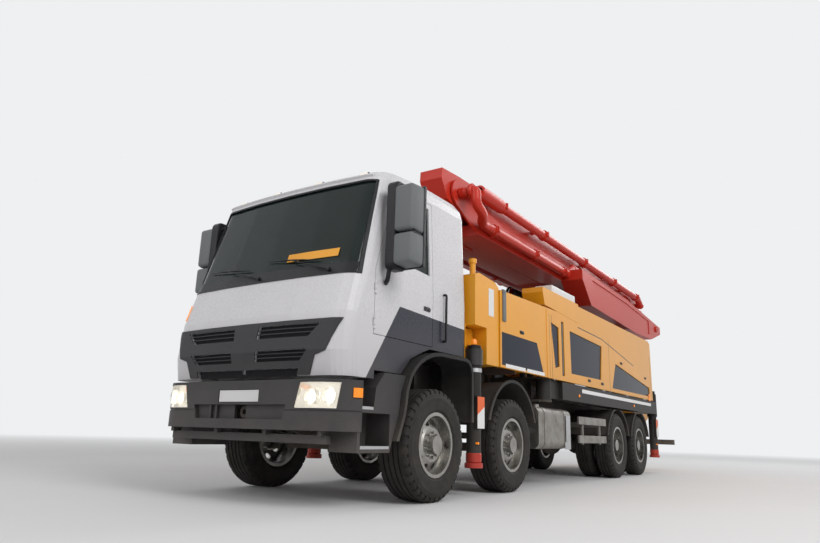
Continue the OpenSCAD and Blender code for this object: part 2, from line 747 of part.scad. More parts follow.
// Dark panes and plates set in the panels
module panel_inserts() color(black) both_sides() {
    for (w = [window_1, window_2, window_3])
        side(inset_any(w), panel_out - 30, panel_out - 14);
    side(inset_any(lower_plate), panel_out - 11, panel_out - 1);
}
// An outline shrunk by the seating clearance, whichever way round it is drawn
function turn(p) = let (a = p[0], b = p[1], c = p[2])
    (b[0] - a[0]) * (c[1] - b[1]) - (b[1] - a[1]) * (c[0] - b[0]);
function inset_any(p) = inset(p, turn(p) > 0 ? fit : -fit);

// Deck: two long floor frames with a walkway, on the subframe
deck_start = 3640;
deck_rear = 9740;
deck_z = 2090;
deck_t = 40;
module deck() color(dark_grey) {
    block(deck_start, deck_rear, -rib_in + fit, rib_in - fit, deck_z, deck_z + deck_t);
    for (d = rib_places, s = [-1, 1]) {
        block(d - 45, d + 45, s > 0 ? rail_in : -rail_out, s > 0 ? rail_out : -rail_in,
            sub_top + fit, deck_z + 1);
        block(d - 30, d + 30, s > 0 ? rail_in : -rib_in + fit, s > 0 ? rib_in - fit : -rail_in,
            floor_low, floor_low + 80);
        block(d - 30, d + 30, s > 0 ? rib_in - 60 : -rib_in + fit,
            s > 0 ? rib_in - fit : -rib_in + 60, floor_low, deck_z + 1);
    }
    // Rest for the folded boom
    both_sides() {
        block(rest_d - 60, rest_d + 60, 700, 820, deck_z + deck_t - 1, rest_top - 30);
        block(rest_d - 110, rest_d + 110, 640, 980, rest_top - 31, rest_top);
    }
}
floor_low = lug_high + 15; // cross beams pass above the swing legs
rest_d = 9300;
rest_top = 2780;

// Concrete pump between the rails: drive cylinders, water box and delivery cylinders
pump_y = 155;
pump_z = 1390;
box_start = 7700;
box_end = 8080;
hopper_start = 10420;
module pump_unit() color(steel) {
    for (s = [-1, 1]) {
        round_x(5900, box_start + 1, s * pump_y, pump_z, 78);
        round_x(box_end - 1, hopper_start - fit, s * pump_y, pump_z - 60, 120);
        round_x(5860, 5960, s * pump_y, pump_z, 105);
    }
    block(box_start, box_end, -330, 330, sub_top + 60, pump_z + 190);
    // Feet on the subframe
    for (d = [5870, box_start + 10, hopper_start - 420])
        block(d, d + 90, -rail_out, rail_out, sub_top + fit, sub_top + 90);
}

// Hopper: tapered trough with a rim, an agitator shaft and brackets to the rails
hopper_t = 16;
hopper_rim = 1480;
hopper_y = 720;
hopper_rear = overall_l - 22;
function hopper_side(i) = [[hopper_start + i, hopper_rim + 2 * i], [hopper_start + i, 960 + i / 2],
    [hopper_start + 90 + i, 700 + i], [11280 - i / 2, 700 + i], [hopper_rear - i, 1330 + i / 2],
    [hopper_rear - i, hopper_rim + 2 * i]];
function hopper_cross(i) = [[-hopper_y + i, hopper_rim + 2 * i], [-hopper_y + i, 1260],
    [-440 + i / 2, 700 + i], [440 - i / 2, 700 + i], [hopper_y - i, 1260],
    [hopper_y - i, hopper_rim + 2 * i]];
module trough(i) intersection() {
    side(hopper_side(i), -hopper_y, hopper_y);
    along_x(hopper_start, hopper_rear) polygon(hopper_cross(i));
}
agitator_d = 11120;
agitator_z = 1020;
rim_y = hopper_y + 34;
module hopper() color(paint_yellow) {
    difference() {
        union() {
            trough(0);
            block(hopper_start - 14, overall_l, -rim_y, rim_y, hopper_rim - 22, hopper_rim);
        }
        trough(hopper_t);
    }
    round_y(agitator_d, agitator_z, 38, -hopper_y + 130, hopper_y - 130);
    for (y = [-420, -140, 140, 420])
        block(agitator_d - 150, agitator_d + 150, y - 12, y + 12, agitator_z - 30, agitator_z + 30);
    both_sides() {
        block(rail_end + fit, hopper_start + 90, rail_in, rail_out, 790, 1010);
        // Hinge lugs of the grate
        difference() {
            block(grate_pin_d - 32, grate_pin_d + 32, rim_y - 14, rim_y, hopper_rim - 1,
                grate_pin_z + 30);
            round_y(grate_pin_d, grate_pin_z, grate_pin_r + fit, rim_y - 20, rim_y + 5);
        }
    }
}
// Grate of bars on the rim, hinged along its front edge
grate_pin_d = hopper_start + 70;
grate_end = grate_pin_d + 1240;
grate_z = hopper_rim + fit;
grate_y = 732;
grate_pin_z = grate_z + 20;
grate_pin_r = 14;
module hopper_grate() color(dark_grey) {
    for (s = [-1, 1])
        block(grate_pin_d, grate_end, s > 0 ? grate_y - 30 : -grate_y,
            s > 0 ? grate_y : -grate_y + 30, grate_z, grate_z + 30);
    for (d = [grate_pin_d + 20, grate_end - 30])
        block(d, d + 30, -grate_y, grate_y, grate_z, grate_z + 30);
    for (y = [-660:110:660])
        block(grate_pin_d + 20, grate_end, y - 5, y + 5, grate_z + 6, grate_z + 24);
    for (d = [grate_pin_d + 340, grate_pin_d + 640, grate_pin_d + 940])
        block(d - 7, d + 7, -grate_y, grate_y, grate_z, grate_z + 20);
    round_y(grate_pin_d, grate_pin_z, grate_pin_r, -rim_y, rim_y);
}

// Cab. Its outline is set by rings: height, front edge back from the bumper face, half width
// and rear edge; i is the distance inside the outer skin
cab_low = 1085;
cab_floor = 1450;
corner_front = 190;
corner_rear = 60;
bow = 45;
cab_rings = [[cab_low, 46, cab_y, cab_back], [1300, 12, cab_y, cab_back],
    [1640, 50, cab_y, cab_back], [1980, 185, cab_y, cab_back],
    [3020, 470, cab_y - 45, cab_back], [3120, 590, cab_y - 70, cab_back - 10],
    [3205, 1100, cab_y - 130, cab_back - 50], [3262, 1750, cab_y - 220, cab_back - 150]];
module cab_block(i) hull()
    for (k = [0:len(cab_rings) - 1]) {
        g = cab_rings[k];
        z = k == 0 ? g[0] + i : (k == len(cab_rings) - 1 ? g[0] - i : g[0]);
        r = max(corner_front - i, 20);
        for (s = [-1, 1]) {
            translate([x_at(g[1] + i + bow + r), s * (g[2] - i - r), z - 0.5])
                cylinder(r = r, h = 1, $fn = 24);
            translate([x_at(g[3] - i - corner_rear), s * (g[2] - i - corner_rear), z - 0.5])
                cylinder(r = corner_rear, h = 1, $fn = 16);
            translate([x_at(g[1] + i + bow / 4 + 20), s * (g[2] - i) * 0.45, z - 0.5])
                cylinder(r = 20, h = 1, $fn = 12);
        }
        translate([x_at(g[1] + i + 20), 0, z - 0.5]) cylinder(r = 20, h = 1, $fn = 12);
    }
module cab_skin(i, t) difference() {
    cab_block(i);
    cab_block(i + t);
}
// The part of the block over the wheel arch that is cut away
nose_end = 500;
cab_step = 1160;
module under_cab(g)
    side([[nose_end - g, cab_low - 300], [nose_end - g, cab_step + g], [735, cab_step + g],
        [825, cab_floor + g], [cab_back + 100, cab_floor + g], [cab_back + 100, cab_low - 300]],
        -2000, 2000);
// Side panel that closes the room between the cab's floor and the front guard
skirt = [[690, cab_step], [905, cab_step], [1063, 1317], [1275, 1408], [1400, cab_floor + 2],
    [800, cab_floor + 2], [700, 1300]];
module cab_skirt() intersection() {
    cab_skin(0, cab_wall);
    side(skirt, cab_y - 300, cab_y + 50);
}
screen = [[-1118, 1992], [1118, 1992], [1062, 2990], [-1062, 2990]];
module screen_prism(w) along_x(-100, 760) polygon(inset(screen, w));
hinge_d = 470;
door_outline = [[hinge_d, 1480], [1440, 1480], [1440, 2990], [800, 2990], [hinge_d, 2080]];
hinge_rows = [1560, 1880];
hinge_pin_r = 8;
hinge_r = 15;
sleeve_l = 50;
ear_gap = 6;
ear_l = 30;
door_window = [[640, 2240], [1385, 2200], [1380, 2935], [850, 2935]];
rear_window = [[-480, 2250], [480, 2250], [480, 2700], [-480, 2700]];
module cab_shell() color(paint_white) {
    difference() {
        cab_block(0);
        difference() {
            cab_block(cab_wall);
            under_cab(cab_wall);
        }
        under_cab(0);
        screen_prism(0);
        for (s = [-1, 1])
            on_side(s) side(inset(door_outline, -door_gap), cab_y - 400, cab_y + 50);
        // Rear window
        along_x(cab_back - 300, cab_back + 50) polygon(rear_window);
        // Pockets behind the grille's slots
        difference() {
            for (w = grille_slots)
                along_x(-100, 300) grille_slot(w);
            cab_block(pocket);
        }
        for (z = hinge_rows, y = [-cab_y, cab_y])
            round_z(hinge_d, y, hinge_r + ear_gap, z - ear_gap, z + sleeve_l + ear_gap, $fn = 20);
    }
    both_sides() cab_skirt();
    // Ears and pins of the door hinges
    for (z = hinge_rows, y = [-cab_y, cab_y]) {
        round_z(hinge_d, y, hinge_pin_r, z - ear_gap - ear_l, z + sleeve_l + ear_gap + ear_l,
            $fn = 20);
        for (e = [z - ear_gap - ear_l, z + sleeve_l + ear_gap])
            round_z(hinge_d, y, hinge_r, e, e + ear_l, $fn = 20);
    }
}
module cab_glass() color(glass_tint) {
    intersection() {
        cab_skin(14, glass_t);
        screen_prism(fit);
    }
    intersection() {
        cab_skin(14, glass_t);
        along_x(cab_back - 300, cab_back + 50) polygon(inset(rear_window, fit));
    }
}
// Grille panel, proud of the nose, with slots that open into pockets of the shell
grille_edge = [[790, cab_low + 5], [850, 1255], [965, 1290], [1085, 1572]];
grille_outline = concat([for (k = [0:3]) [-grille_edge[k][0], grille_edge[k][1]]],
    [for (k = [3:-1:0]) grille_edge[k]]);
// Slots as [inner end, outer end at the foot, outer end at the top, foot, top]
grille_slots = [[150, 690, 780, 1212, 1312], [150, 765, 880, 1420, 1536],
    [-5, 650, 680, 1080, 1150]];
pocket = 34;
module grille_slot(w) for (s = [-1, 1])
    polygon([[s * w[0], w[3]], [s * w[1], w[3]], [s * w[2], w[4]], [s * (w[0] + 12), w[4]]]);
module grille() color(dark_grey) difference() {
    intersection() {
        difference() {
            cab_block(-11);
            cab_block(-fit);
        }
        along_x(-100, 260) polygon(grille_outline);
    }
    for (w = grille_slots)
        along_x(-100, 300) grille_slot(w);
}
module door_shape(t) intersection() {
    cab_skin(0, t);
    side(door_outline, cab_y - 300, cab_y + 50);
}
mirror_d = 560;
module door() {
    difference() {
        door_shape(cab_wall);
        side(door_window, cab_y - 400, cab_y + 50);
        // Handle recess
        block(1270, 1390, cab_y - 20, cab_y + 20, 1820, 1870);
        for (z = hinge_rows, e = [z - 2 * ear_gap - ear_l, z + sleeve_l])
            round_z(hinge_d, cab_y, hinge_r + ear_gap, e, e + ear_l + 2 * ear_gap, $fn = 20);
        for (z = hinge_rows)
            round_z(hinge_d, cab_y, hinge_pin_r + fit, z - 5, z + sleeve_l + 5, $fn = 20);
    }
    block(1265, 1395, cab_y - 8, cab_y + 4, 1836, 1854);
    for (z = hinge_rows)
        difference() {
            round_z(hinge_d, cab_y, hinge_r, z, z + sleeve_l, $fn = 20);
            round_z(hinge_d, cab_y, hinge_pin_r + fit, z - 5, z + sleeve_l + 5, $fn = 20);
        }
    // Two-part mirror on its arms
    for (z = [2150, 2800])
        bar([mirror_d + 130, cab_y - 25, z], [mirror_d + 60, cab_y + 225, z], 17);
    side([[mirror_d, 2420], [mirror_d + 150, 2420], [mirror_d + 140, 2860], [mirror_d + 30, 2850]],
        cab_y + 110, cab_y + 340);
    side([[mirror_d, 2405], [mirror_d + 150, 2405], [mirror_d + 135, 2115], [mirror_d + 20, 2125]],
        cab_y + 110, cab_y + 340);
    block(mirror_d + 60, mirror_d + 80, cab_y + 215, cab_y + 235, 2130, 2820);
}
module door_left() color(paint_white) door();
module door_right() color(paint_white) mirror([0, 1, 0]) door();
module door_glass() intersection() {
    cab_skin(18, glass_t - 2);
    side(inset(door_window, fit), cab_y - 300, cab_y + 50);
}
module door_glass_left() color(glass_tint) door_glass();
module door_glass_right() color(glass_tint) mirror([0, 1, 0]) door_glass();

// Seats, dashboard, steering wheel and bunk
seat_z = cab_floor + cab_wall;
module cab_interior() color(black) {
    for (y = [-560, 560]) {
        block(900, 1400, y - 250, y + 250, seat_z + 260, seat_z + 400);
        block(1000, 1300, y - 150, y + 150, seat_z + fit, seat_z + 265);
        side([[1330, seat_z + 380], [1450, seat_z + 380], [1560, seat_z + 1130],
            [1470, seat_z + 1130]], y - 240, y + 240);
    }
    // Dashboard with its pedestal on the floor
    side([[300, 1960], [640, 1985], [700, 1800], [620, 1560], [480, 1540], [300, 1700]],
        -900, 900);
    block(330, 440, -300, 300, cab_low + cab_wall - 0.2, 1600);
    bar([640, 560, 1842], [795, 560, 1977], 28);
    translate([x_at(790), 560, 1972]) rotate([0, 48, 0]) rotate_extrude($fn = 48)
        translate([205, 0]) circle(16);
    bar([795, 360, 1977], [795, 760, 1977], 12);
    block(1700, cab_back - cab_wall - 30, -1000, 1000, seat_z + fit, seat_z + 500);
}

// Rear legs: a beam that swings out from its bracket, and a foot leg at its free end
swing_in = 1010;
swing_out = 1235;
rear_leg_y = 1132;
module rear_beam() color(paint_yellow) {
    round_z(rear_pivot_d, lug_y, 45, lug_low - lug_t - 2, lug_high + lug_t + 2);
    difference() {
        union() {
            round_z(rear_pivot_d, lug_y, 104, lug_low, lug_high);
            side([[rear_pivot_d, lug_low + 20], [rear_leg_d - 60, lug_low + 20],
                [rear_leg_d - 60, lug_high - 5], [rear_pivot_d, lug_high - 5]],
                swing_in, swing_out - 60);
            block(rear_pivot_d + 320, rear_leg_d - 60, swing_in, swing_out, lug_low + 20,
                lug_high - 5);
            round_z(rear_leg_d, rear_leg_y, guide_r, lug_low - 30, guide_high);
        }
        round_z(rear_leg_d, rear_leg_y, leg_r + fit, lug_low - 40, guide_high + 5);
    }
}
module rear_leg() color(black) {
    leg(rear_leg_d, rear_leg_y, guide_high + 60);
    leg_board(rear_leg_d, rear_leg_y);
}

// Turret: a disc on the slewing ring, two cheeks for the boom foot and the lift cylinder's pin
cheek_in = 160;
cheek_out = 205;
lift_d = 3640; // lower pin of the lift cylinder
lift_z = 2550;
rod_eye_d = 3700; // upper pin of the lift cylinder with the boom folded
rod_eye_z = 3400;
lift_pin_r = 45;
foot_pin_r = 65;
turret_low = ring_top + fit;
disc_top = turret_low + 58;
riser_y = -440; // concrete pipe that rises beside the turret
module turret() color(paint_red) {
    round_z(slew_d, 0, 470, turret_low, disc_top);
    round_z(slew_d, 0, spigot_r, base_top + 20, turret_low + 1);
    difference() {
        both_sides() {
            side([[slew_d - 320, disc_top - 1], [lift_d + 150, disc_top - 1],
                [lift_d + 120, lift_z + 90], [pin_a_d + 230, pin_a_z - 230],
                [pin_a_d + 170, pin_a_z - 60], [pin_a_d - 180, pin_a_z - 60],
                [slew_d - 260, 2800]], cheek_in, cheek_out);
            round_y(pin_a_d, pin_a_z, 190, cheek_in, cheek_out);
        }
        // Lightening holes
        round_y(slew_d + 60, 2720, 120, -300, 300);
    }
    // Web between the cheeks, ahead of the cylinder
    block(slew_d - 255, slew_d - 215, -cheek_in - 1, cheek_in + 1, disc_top - 1, 2860);
    round_y(pin_a_d, pin_a_z, foot_pin_r, -cheek_out - 10, cheek_out + 10);
    round_y(lift_d, lift_z, lift_pin_r, -cheek_out - 10, cheek_out + 10);
    // Pipe up to the foot pin's swivel, with its clamp
    pipe([[slew_d + 50, riser_y, disc_top - 1], [pin_a_d, riser_y, pin_a_z],
        [pin_a_d, riser_y + 62, pin_a_z]]);
    block(slew_d - 20, slew_d + 120, riser_y + 20, -cheek_out + 1, 2640, 2700);
}
// A run of pipe through points given as [distance back, y, z]
module pipe(p) {
    for (k = [0:len(p) - 2])
        bar(p[k], p[k + 1], pipe_r);
    for (k = [1:len(p) - 2])
        translate([x_at(p[k][0]), p[k][1], p[k][2]]) sphere(pipe_r + 6);
}

// Lift cylinder, from its lower pin towards the rod's eye
lift_v = [lift_d - rod_eye_d, rod_eye_z - lift_z];
lift_len = norm(lift_v);
barrel_r = 86;
barrel_top = lift_len - 95;
rod_r = 50;
module along_lift() translate([x_at(lift_d), 0, lift_z]) rotate([0, atan2(lift_v[0], lift_v[1]), 0])
    children();
module lift_barrel() color(paint_red) along_lift() difference() {
    union() {
        rotate([90, 0, 0]) cylinder(r = 85, h = 2 * (cheek_in - run), center = true);
        translate([0, 0, 40]) cylinder(r = barrel_r, h = barrel_top - 40);
    }
    rotate([90, 0, 0]) cylinder(r = lift_pin_r + fit, h = 400, center = true);
    translate([0, 0, 88]) cylinder(r = rod_r + fit, h = lift_len);
}
module lift_rod() color(steel) along_lift() {
    translate([0, 0, 92]) cylinder(r = rod_r, h = lift_len - 92 - 60);
    translate([0, 0, lift_len]) difference() {
        rotate([90, 0, 0]) cylinder(r = 74, h = 170, center = true);
        rotate([90, 0, 0]) cylinder(r = 40, h = 200, center = true);
    }
}

// Lanes in which the folded arms lie side by side
arm_1_y = 210;
lane_2_in = arm_1_y + arm_gap + 8; // front fork of the second arm
lane_3_in = lane_2_in + 28 + arm_gap;
lane_3_out = 600;
lane_2_out = lane_3_out + arm_gap + 28;
lane_2_rear = 1000;
lane_4_in = -420;
lane_4_out = -700;
lane_5_in = lane_4_out - arm_gap;
lane_5_out = -992;
web_t = 28;

// First arm: foot plates on the pin, a deep box beam and a cross tube at its end
module arm_1() color(paint_red) {
    difference() {
        union() {
            side([[pin_a_d + 20, pin_a_z - 128], [3700, 3300], [4100, 3292], [4100, 3800],
                [pin_a_d - 20, pin_a_z + 128]], -cheek_in + run, cheek_in - run);
            round_y(pin_a_d, pin_a_z, 130, -cheek_in + run, cheek_in - run);
            side([[3620, 3310], [6400, 3292], [7400, 3150], [11100, 2940],
                [pin_b_d, pin_b_z - 190], [pin_b_d, pin_b_z + 190], [11100, 3370], [7000, 3690],
                [4400, 3830], [4050, 3790], [3620, 3560]], -arm_1_y, arm_1_y);
            round_y(pin_b_d, pin_b_z, 190, -arm_1_y, arm_1_y);
            round_y(pin_b_d, pin_b_z, 135, arm_1_y - 1, lane_2_out - web_t - arm_gap / 2);
        }
        // Fork for the lift rod
        side([[pin_a_d - 200, pin_a_z - 300], [3860, pin_a_z - 300], [3860, 3520],
            [3500, 3620], [pin_a_d - 200, 3620]], -97, 97);
        round_y(pin_a_d, pin_a_z, foot_pin_r + fit, -300, 300);
        // Recessed panels between the flanges
        both_sides()
            side([[4300, 3370], [6450, 3370], [7400, 3240], [10900, 3035], [10900, 3300],
                [7000, 3610], [4450, 3740]], arm_1_y - 14, arm_1_y + 5);
    }
    round_y(pin_b_d, pin_b_z, 75, arm_1_y - 1, lane_2_rear + 14);
    pipe([[pin_a_d, -cheek_out - 20, pin_a_z], [pin_a_d, -pipe_y, pin_a_z],
        [3900, -pipe_y, 3480], [6800, -pipe_y, 3440], [pin_b_d, -pipe_y, pin_b_z],
        [pin_b_d, -arm_1_y + 1, pin_b_z]]);
    for (b = [[4700, 3469], [7400, 3403], [10300, 3222]])
        block(b[0] - 25, b[0] + 25, 25 - pipe_y, -arm_1_y + 15, b[1] - 24, b[1] + 24);
}
pipe_y = 292;

// Second arm: a low rear box beside the first arm, then a front box under the third arm with
// two cheeks that fork round the third arm's foot
pin_c_r = 62;
front_low = 3292; // clears the cab roof when the folded boom slews
front_high = 3450;
rest_line = [[6900, 2900], [9700, 2815]];
function on_line(l, d) = l[0][1] + (l[1][1] - l[0][1]) * (d - l[0][0]) / (l[1][0] - l[0][0]);
upper_pipe_y = lane_2_out + pipe_r + 2 * run;
uz = upper_pin_z;
module arm_2() color(paint_red) {
    difference() {
        union() {
            side([[6480, front_low], rest_line[0], rest_line[1], [11000, 2850],
                [overall_l - 40, 3075], [overall_l - 30, 3240], [9190, 3425], [6480, 3470]],
                lane_3_out + arm_gap, lane_2_rear);
            block(3400, 7500, lane_2_in, lane_2_out, front_low, front_high);
            block(6480, 7500, lane_2_out - 1, lane_2_rear, front_low, front_high);
            for (y = [lane_2_in, lane_2_out - web_t]) {
                side([[pin_c_d - 90, uz - 162], [3300, front_low], [4750, front_low],
                    [4750, front_high], [3700, 3700], [pin_c_d + 90, uz + 162]], y, y + web_t);
                round_y(pin_c_d, uz, 185, y, y + web_t);
            }
        }
        round_y(pin_b_d, pin_b_z, 75 + fit, lane_3_out, lane_2_rear + 20);
        // Recessed panel on the outer side
        side([[7000, 3010], [9700, 2910], [10850, 2940], [10850, 3240], [9150, 3340],
            [7000, 3380]], lane_2_rear - 14, lane_2_rear + 5);
    }
    round_y(pin_c_d, uz, pin_c_r, lane_2_in - 6, lane_2_out + 1);
    // Cylinder of the third arm
    round_x(3900, 4700, 560, uz - 193, 50);
    round_x(4690, 6320, 560, uz - 193, 30);
    block(6290, 6380, 530, 590, front_high - 1, uz - 150);
    block(3840, 3930, 520, lane_2_out - 10, front_high - 60, uz - 145);
    pipe([[3480, upper_pipe_y, front_low + 110], [6450, upper_pipe_y, front_low + 110],
        [6750, upper_pipe_y, 3565], [11100, upper_pipe_y, 3500], [pin_b_d, upper_pipe_y, 3310]]);
    for (d = [3700, 5200])
        block(d, d + 60, lane_2_out - 1, upper_pipe_y, front_low + 40, front_low + 90);
    for (d = [7600, 9300])
        block(d, d + 60, upper_pipe_y - 40, upper_pipe_y + 40, 3420, 3500);
}

// Third arm: long upper box from the front pin to the shaft that carries the fourth
shaft_r = 75;
module arm_3() color(paint_red) {
    difference() {
        union() {
            side([[pin_c_d - 385, uz + 235], [pin_c_d - 395, uz + 100], [pin_c_d - 250, uz - 140],
                [pin_c_d, uz - 200], [pin_c_d + 350, uz - 130], [pin_d_d, uz - 128],
                [pin_d_d, uz + 150], [8000, uz + 225], [4300, uz + 275], [pin_c_d + 60, uz + 262]],
                lane_3_in, lane_3_out);
            round_y(pin_d_d, uz, 150, lane_3_in, lane_3_out);
        }
        round_y(pin_c_d, uz, pin_c_r + fit, lane_3_in - 5, lane_3_out + 5);
        side([[4500, uz - 60], [10900, uz - 60], [10900, uz + 95], [8000, uz + 160],
            [4500, uz + 205]], lane_3_out - 12, lane_3_out + 5);
    }
    round_y(pin_d_d, uz, shaft_r, lane_4_out - 6, lane_3_in + 1);
    pipe([[pin_c_d, lane_2_out + 12, uz], [pin_c_d, upper_pipe_y, uz],
        [pin_c_d + 480, upper_pipe_y, uz + 130], [pin_d_d - 250, upper_pipe_y, uz + 130],
        [pin_d_d, upper_pipe_y, uz], [pin_d_d, lane_3_out - 1, uz]]);
    for (d = [5200, 7600, 10000])
        block(d, d + 60, lane_3_out - 1, upper_pipe_y, uz + 100, uz + 150);
}

// Fourth arm, forward from the shaft to the fifth arm's pin
pin_e_r = 60;
module arm_4() color(paint_red) {
    difference() {
        union() {
            side([[pin_e_d, uz - 140], [pin_d_d, uz - 145], [pin_d_d, uz + 155],
                [7500, uz + 155], [pin_e_d, uz + 140]], lane_4_out, lane_4_in);
            round_y(pin_d_d, uz, 160, lane_4_out, lane_4_in);
            round_y(pin_e_d, uz, 145, lane_4_out, lane_4_in);
        }
        round_y(pin_d_d, uz, shaft_r + fit, lane_4_out - 5, lane_4_in + 5);
    }
    round_y(pin_e_d, uz, pin_e_r, lane_5_out - 1, lane_4_out + 1);
    pipe([[pin_e_d + 100, -560, uz - 100], [pin_e_d + 320, -560, uz - 222],
        [pin_d_d - 360, -560, uz - 222], [pin_d_d - 120, -560, uz - 100]]);
    for (d = [4800, 7200, 9600])
        block(d, d + 60, -600, -520, uz - 200, uz - 130);
}

// Fifth arm with the end hose clipped under it
hose_r = 78;
hose_bore_r = 62.5;
hose_end_d = 7600;
hose_y = (lane_5_in + lane_5_out) / 2;
tip_d = 11180;
outer_pipe_y = lane_5_out - pipe_r - 2 * run;
module arm_5() color(paint_red) {
    difference() {
        union() {
            side([[pin_e_d, uz - 130], [tip_d - 80, uz - 90], [tip_d, uz - 50], [tip_d, uz + 60],
                [tip_d - 180, uz + 90], [pin_e_d, uz + 132]], lane_5_out, lane_5_in);
            round_y(pin_e_d, uz, 138, lane_5_out, lane_5_in);
        }
        round_y(pin_e_d, uz, pin_e_r + fit, lane_5_out - 5, lane_5_in + 5);
    }
    pipe([[pin_e_d, lane_5_out - 14, uz], [pin_e_d, outer_pipe_y, uz],
        [tip_d + 40, outer_pipe_y, uz], [tip_d + 40, outer_pipe_y, uz - 190],
        [tip_d + 40, hose_y, uz - 230], [tip_d - 160, hose_y, uz - 230]]);
    difference() {
        round_x(hose_end_d, tip_d - 150, hose_y, uz - 230, hose_r);
        round_x(hose_end_d - 5, hose_end_d + 150, hose_y, uz - 230, hose_bore_r);
    }
    for (d = [4800, 7200, 9600])
        block(d, d + 60, outer_pipe_y, lane_5_out + 1, uz - 30, uz + 30);
    for (d = [7900, 9300, 10700])
        block(d, d + 60, hose_y - 40, hose_y + 40, uz - 200, uz - 80);
}

frame();
engine_block();
bumper();
lamps();
axle_beams();
mudguards();
side_tanks();
boom_base();
water_tanks();
side_panels_left();
side_panels_right();
panel_inserts();
deck();
pump_unit();
hopper();
hopper_grate();
cab_shell();
grille();
cab_glass();
cab_interior();
door_left();
door_right();
door_glass_left();
door_glass_right();
knuckle(axle_1);  // knuckle_1_left
on_side(-1) knuckle(axle_1);  // knuckle_1_right
knuckle(axle_2);  // knuckle_2_left
on_side(-1) knuckle(axle_2);  // knuckle_2_right
steer_tyre(axle_1);  // tyre_1_left
on_side(-1) steer_tyre(axle_1);  // tyre_1_right
steer_tyre(axle_2);  // tyre_2_left
on_side(-1) steer_tyre(axle_2);  // tyre_2_right
twin_tyre(axle_3);  // tyre_3_left
on_side(-1) twin_tyre(axle_3);  // tyre_3_right
twin_tyre(axle_4);  // tyre_4_left
on_side(-1) twin_tyre(axle_4);  // tyre_4_right
steer_rim(axle_1);  // rim_1_left
on_side(-1) steer_rim(axle_1);  // rim_1_right
steer_rim(axle_2);  // rim_2_left
on_side(-1) steer_rim(axle_2);  // rim_2_right
twin_rim(axle_3);  // rim_3_left
on_side(-1) twin_rim(axle_3);  // rim_3_right
twin_rim(axle_4);  // rim_4_left
on_side(-1) twin_rim(axle_4);  // rim_4_right
turret();
lift_barrel();
lift_rod();
arm_1();
arm_2();
arm_3();
arm_4();
arm_5();
front_beam(left_beam_low);  // front_beam_left
on_side(-1) front_beam(right_beam_low);  // front_beam_right
front_leg();  // front_leg_left
on_side(-1) front_leg();  // front_leg_right
rear_beam();  // rear_beam_left
on_side(-1) rear_beam();  // rear_beam_right
rear_leg();  // rear_leg_left
on_side(-1) rear_leg();  // rear_leg_right
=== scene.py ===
# %% [markdown]
# # Concrete pump truck
# The truck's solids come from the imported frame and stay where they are. This file gives them
# their finishes and adds the small things that a drawing of solids leaves out: tyre treads,
# lamp glass, a wire screen in the grille, wipers, seams, strips, clamps and bolts.

# %% Start
import math
import bpy
from mathutils import Matrix, Vector


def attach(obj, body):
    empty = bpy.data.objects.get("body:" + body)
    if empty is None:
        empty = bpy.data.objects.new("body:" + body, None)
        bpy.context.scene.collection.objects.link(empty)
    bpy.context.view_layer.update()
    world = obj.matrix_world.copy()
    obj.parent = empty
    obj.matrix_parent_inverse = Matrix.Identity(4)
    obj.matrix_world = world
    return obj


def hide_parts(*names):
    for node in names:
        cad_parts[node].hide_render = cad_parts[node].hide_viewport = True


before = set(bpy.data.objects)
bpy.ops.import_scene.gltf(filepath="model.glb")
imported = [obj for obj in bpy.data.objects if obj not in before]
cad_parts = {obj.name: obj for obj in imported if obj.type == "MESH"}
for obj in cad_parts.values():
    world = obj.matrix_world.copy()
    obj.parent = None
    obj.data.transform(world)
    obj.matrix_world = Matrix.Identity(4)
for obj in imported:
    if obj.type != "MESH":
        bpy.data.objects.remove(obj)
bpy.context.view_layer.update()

# %% [markdown]
# The photograph was taken from low down, ahead of the left front corner. The camera's place and
# turn were worked out from the bumper, the wheels and the boom, so they are written as numbers.

# %% Camera
yaw, pitch, roll = math.radians(214.528), math.radians(14.243), math.radians(1.693)
ahead = Vector((math.cos(pitch) * math.cos(yaw), math.cos(pitch) * math.sin(yaw), math.sin(pitch)))
level_right = ahead.cross(Vector((0, 0, 1))).normalized()
level_up = level_right.cross(ahead)
cam_right = level_right * math.cos(roll) + level_up * math.sin(roll)
cam_up = level_up * math.cos(roll) - level_right * math.sin(roll)
cam_data = bpy.data.cameras.new("photo_camera")
cam_data.lens = 27.85
cam_data.sensor_width = 36
cam_data.clip_end = 500
camera_place = (9.898, 4.561, 0.638)
camera = bpy.data.objects.new("photo_camera", cam_data)
turn = Matrix((cam_right, cam_up, -ahead)).transposed().to_4x4()
camera.matrix_world = Matrix.Translation(camera_place) @ turn
bpy.context.scene.collection.objects.link(camera)
bpy.context.scene.camera = camera
print("camera lens", cam_data.lens, "mm")

# %% [markdown]
# A finish is easier to read when its maths is written as plain sums. This small class holds one
# socket of a shader and turns +, -, * and / into Math nodes, so a mask can be written as
# (height - z) * 2. A table names the Math node behind each sign and each method.

# %% Shader sums
class Num:
    def __init__(self, finish, socket):
        self.finish = finish
        self.socket = socket

    def sum(self, kind, *values):
        return self.finish.node("ShaderNodeMath", {"operation": kind}, dict(enumerate(values)))

    def clipped(self):
        made = self.sum("ADD", self, 0.0)
        made.socket.node.use_clamp = True
        return made


def give_sum(method, kind, swapped=False):
    # Adds a method that makes one Math node; swapped is for sums that start with a plain number
    def made(self, *others):
        return self.sum(kind, *others, self) if swapped else self.sum(kind, self, *others)
    setattr(Num, method, made)


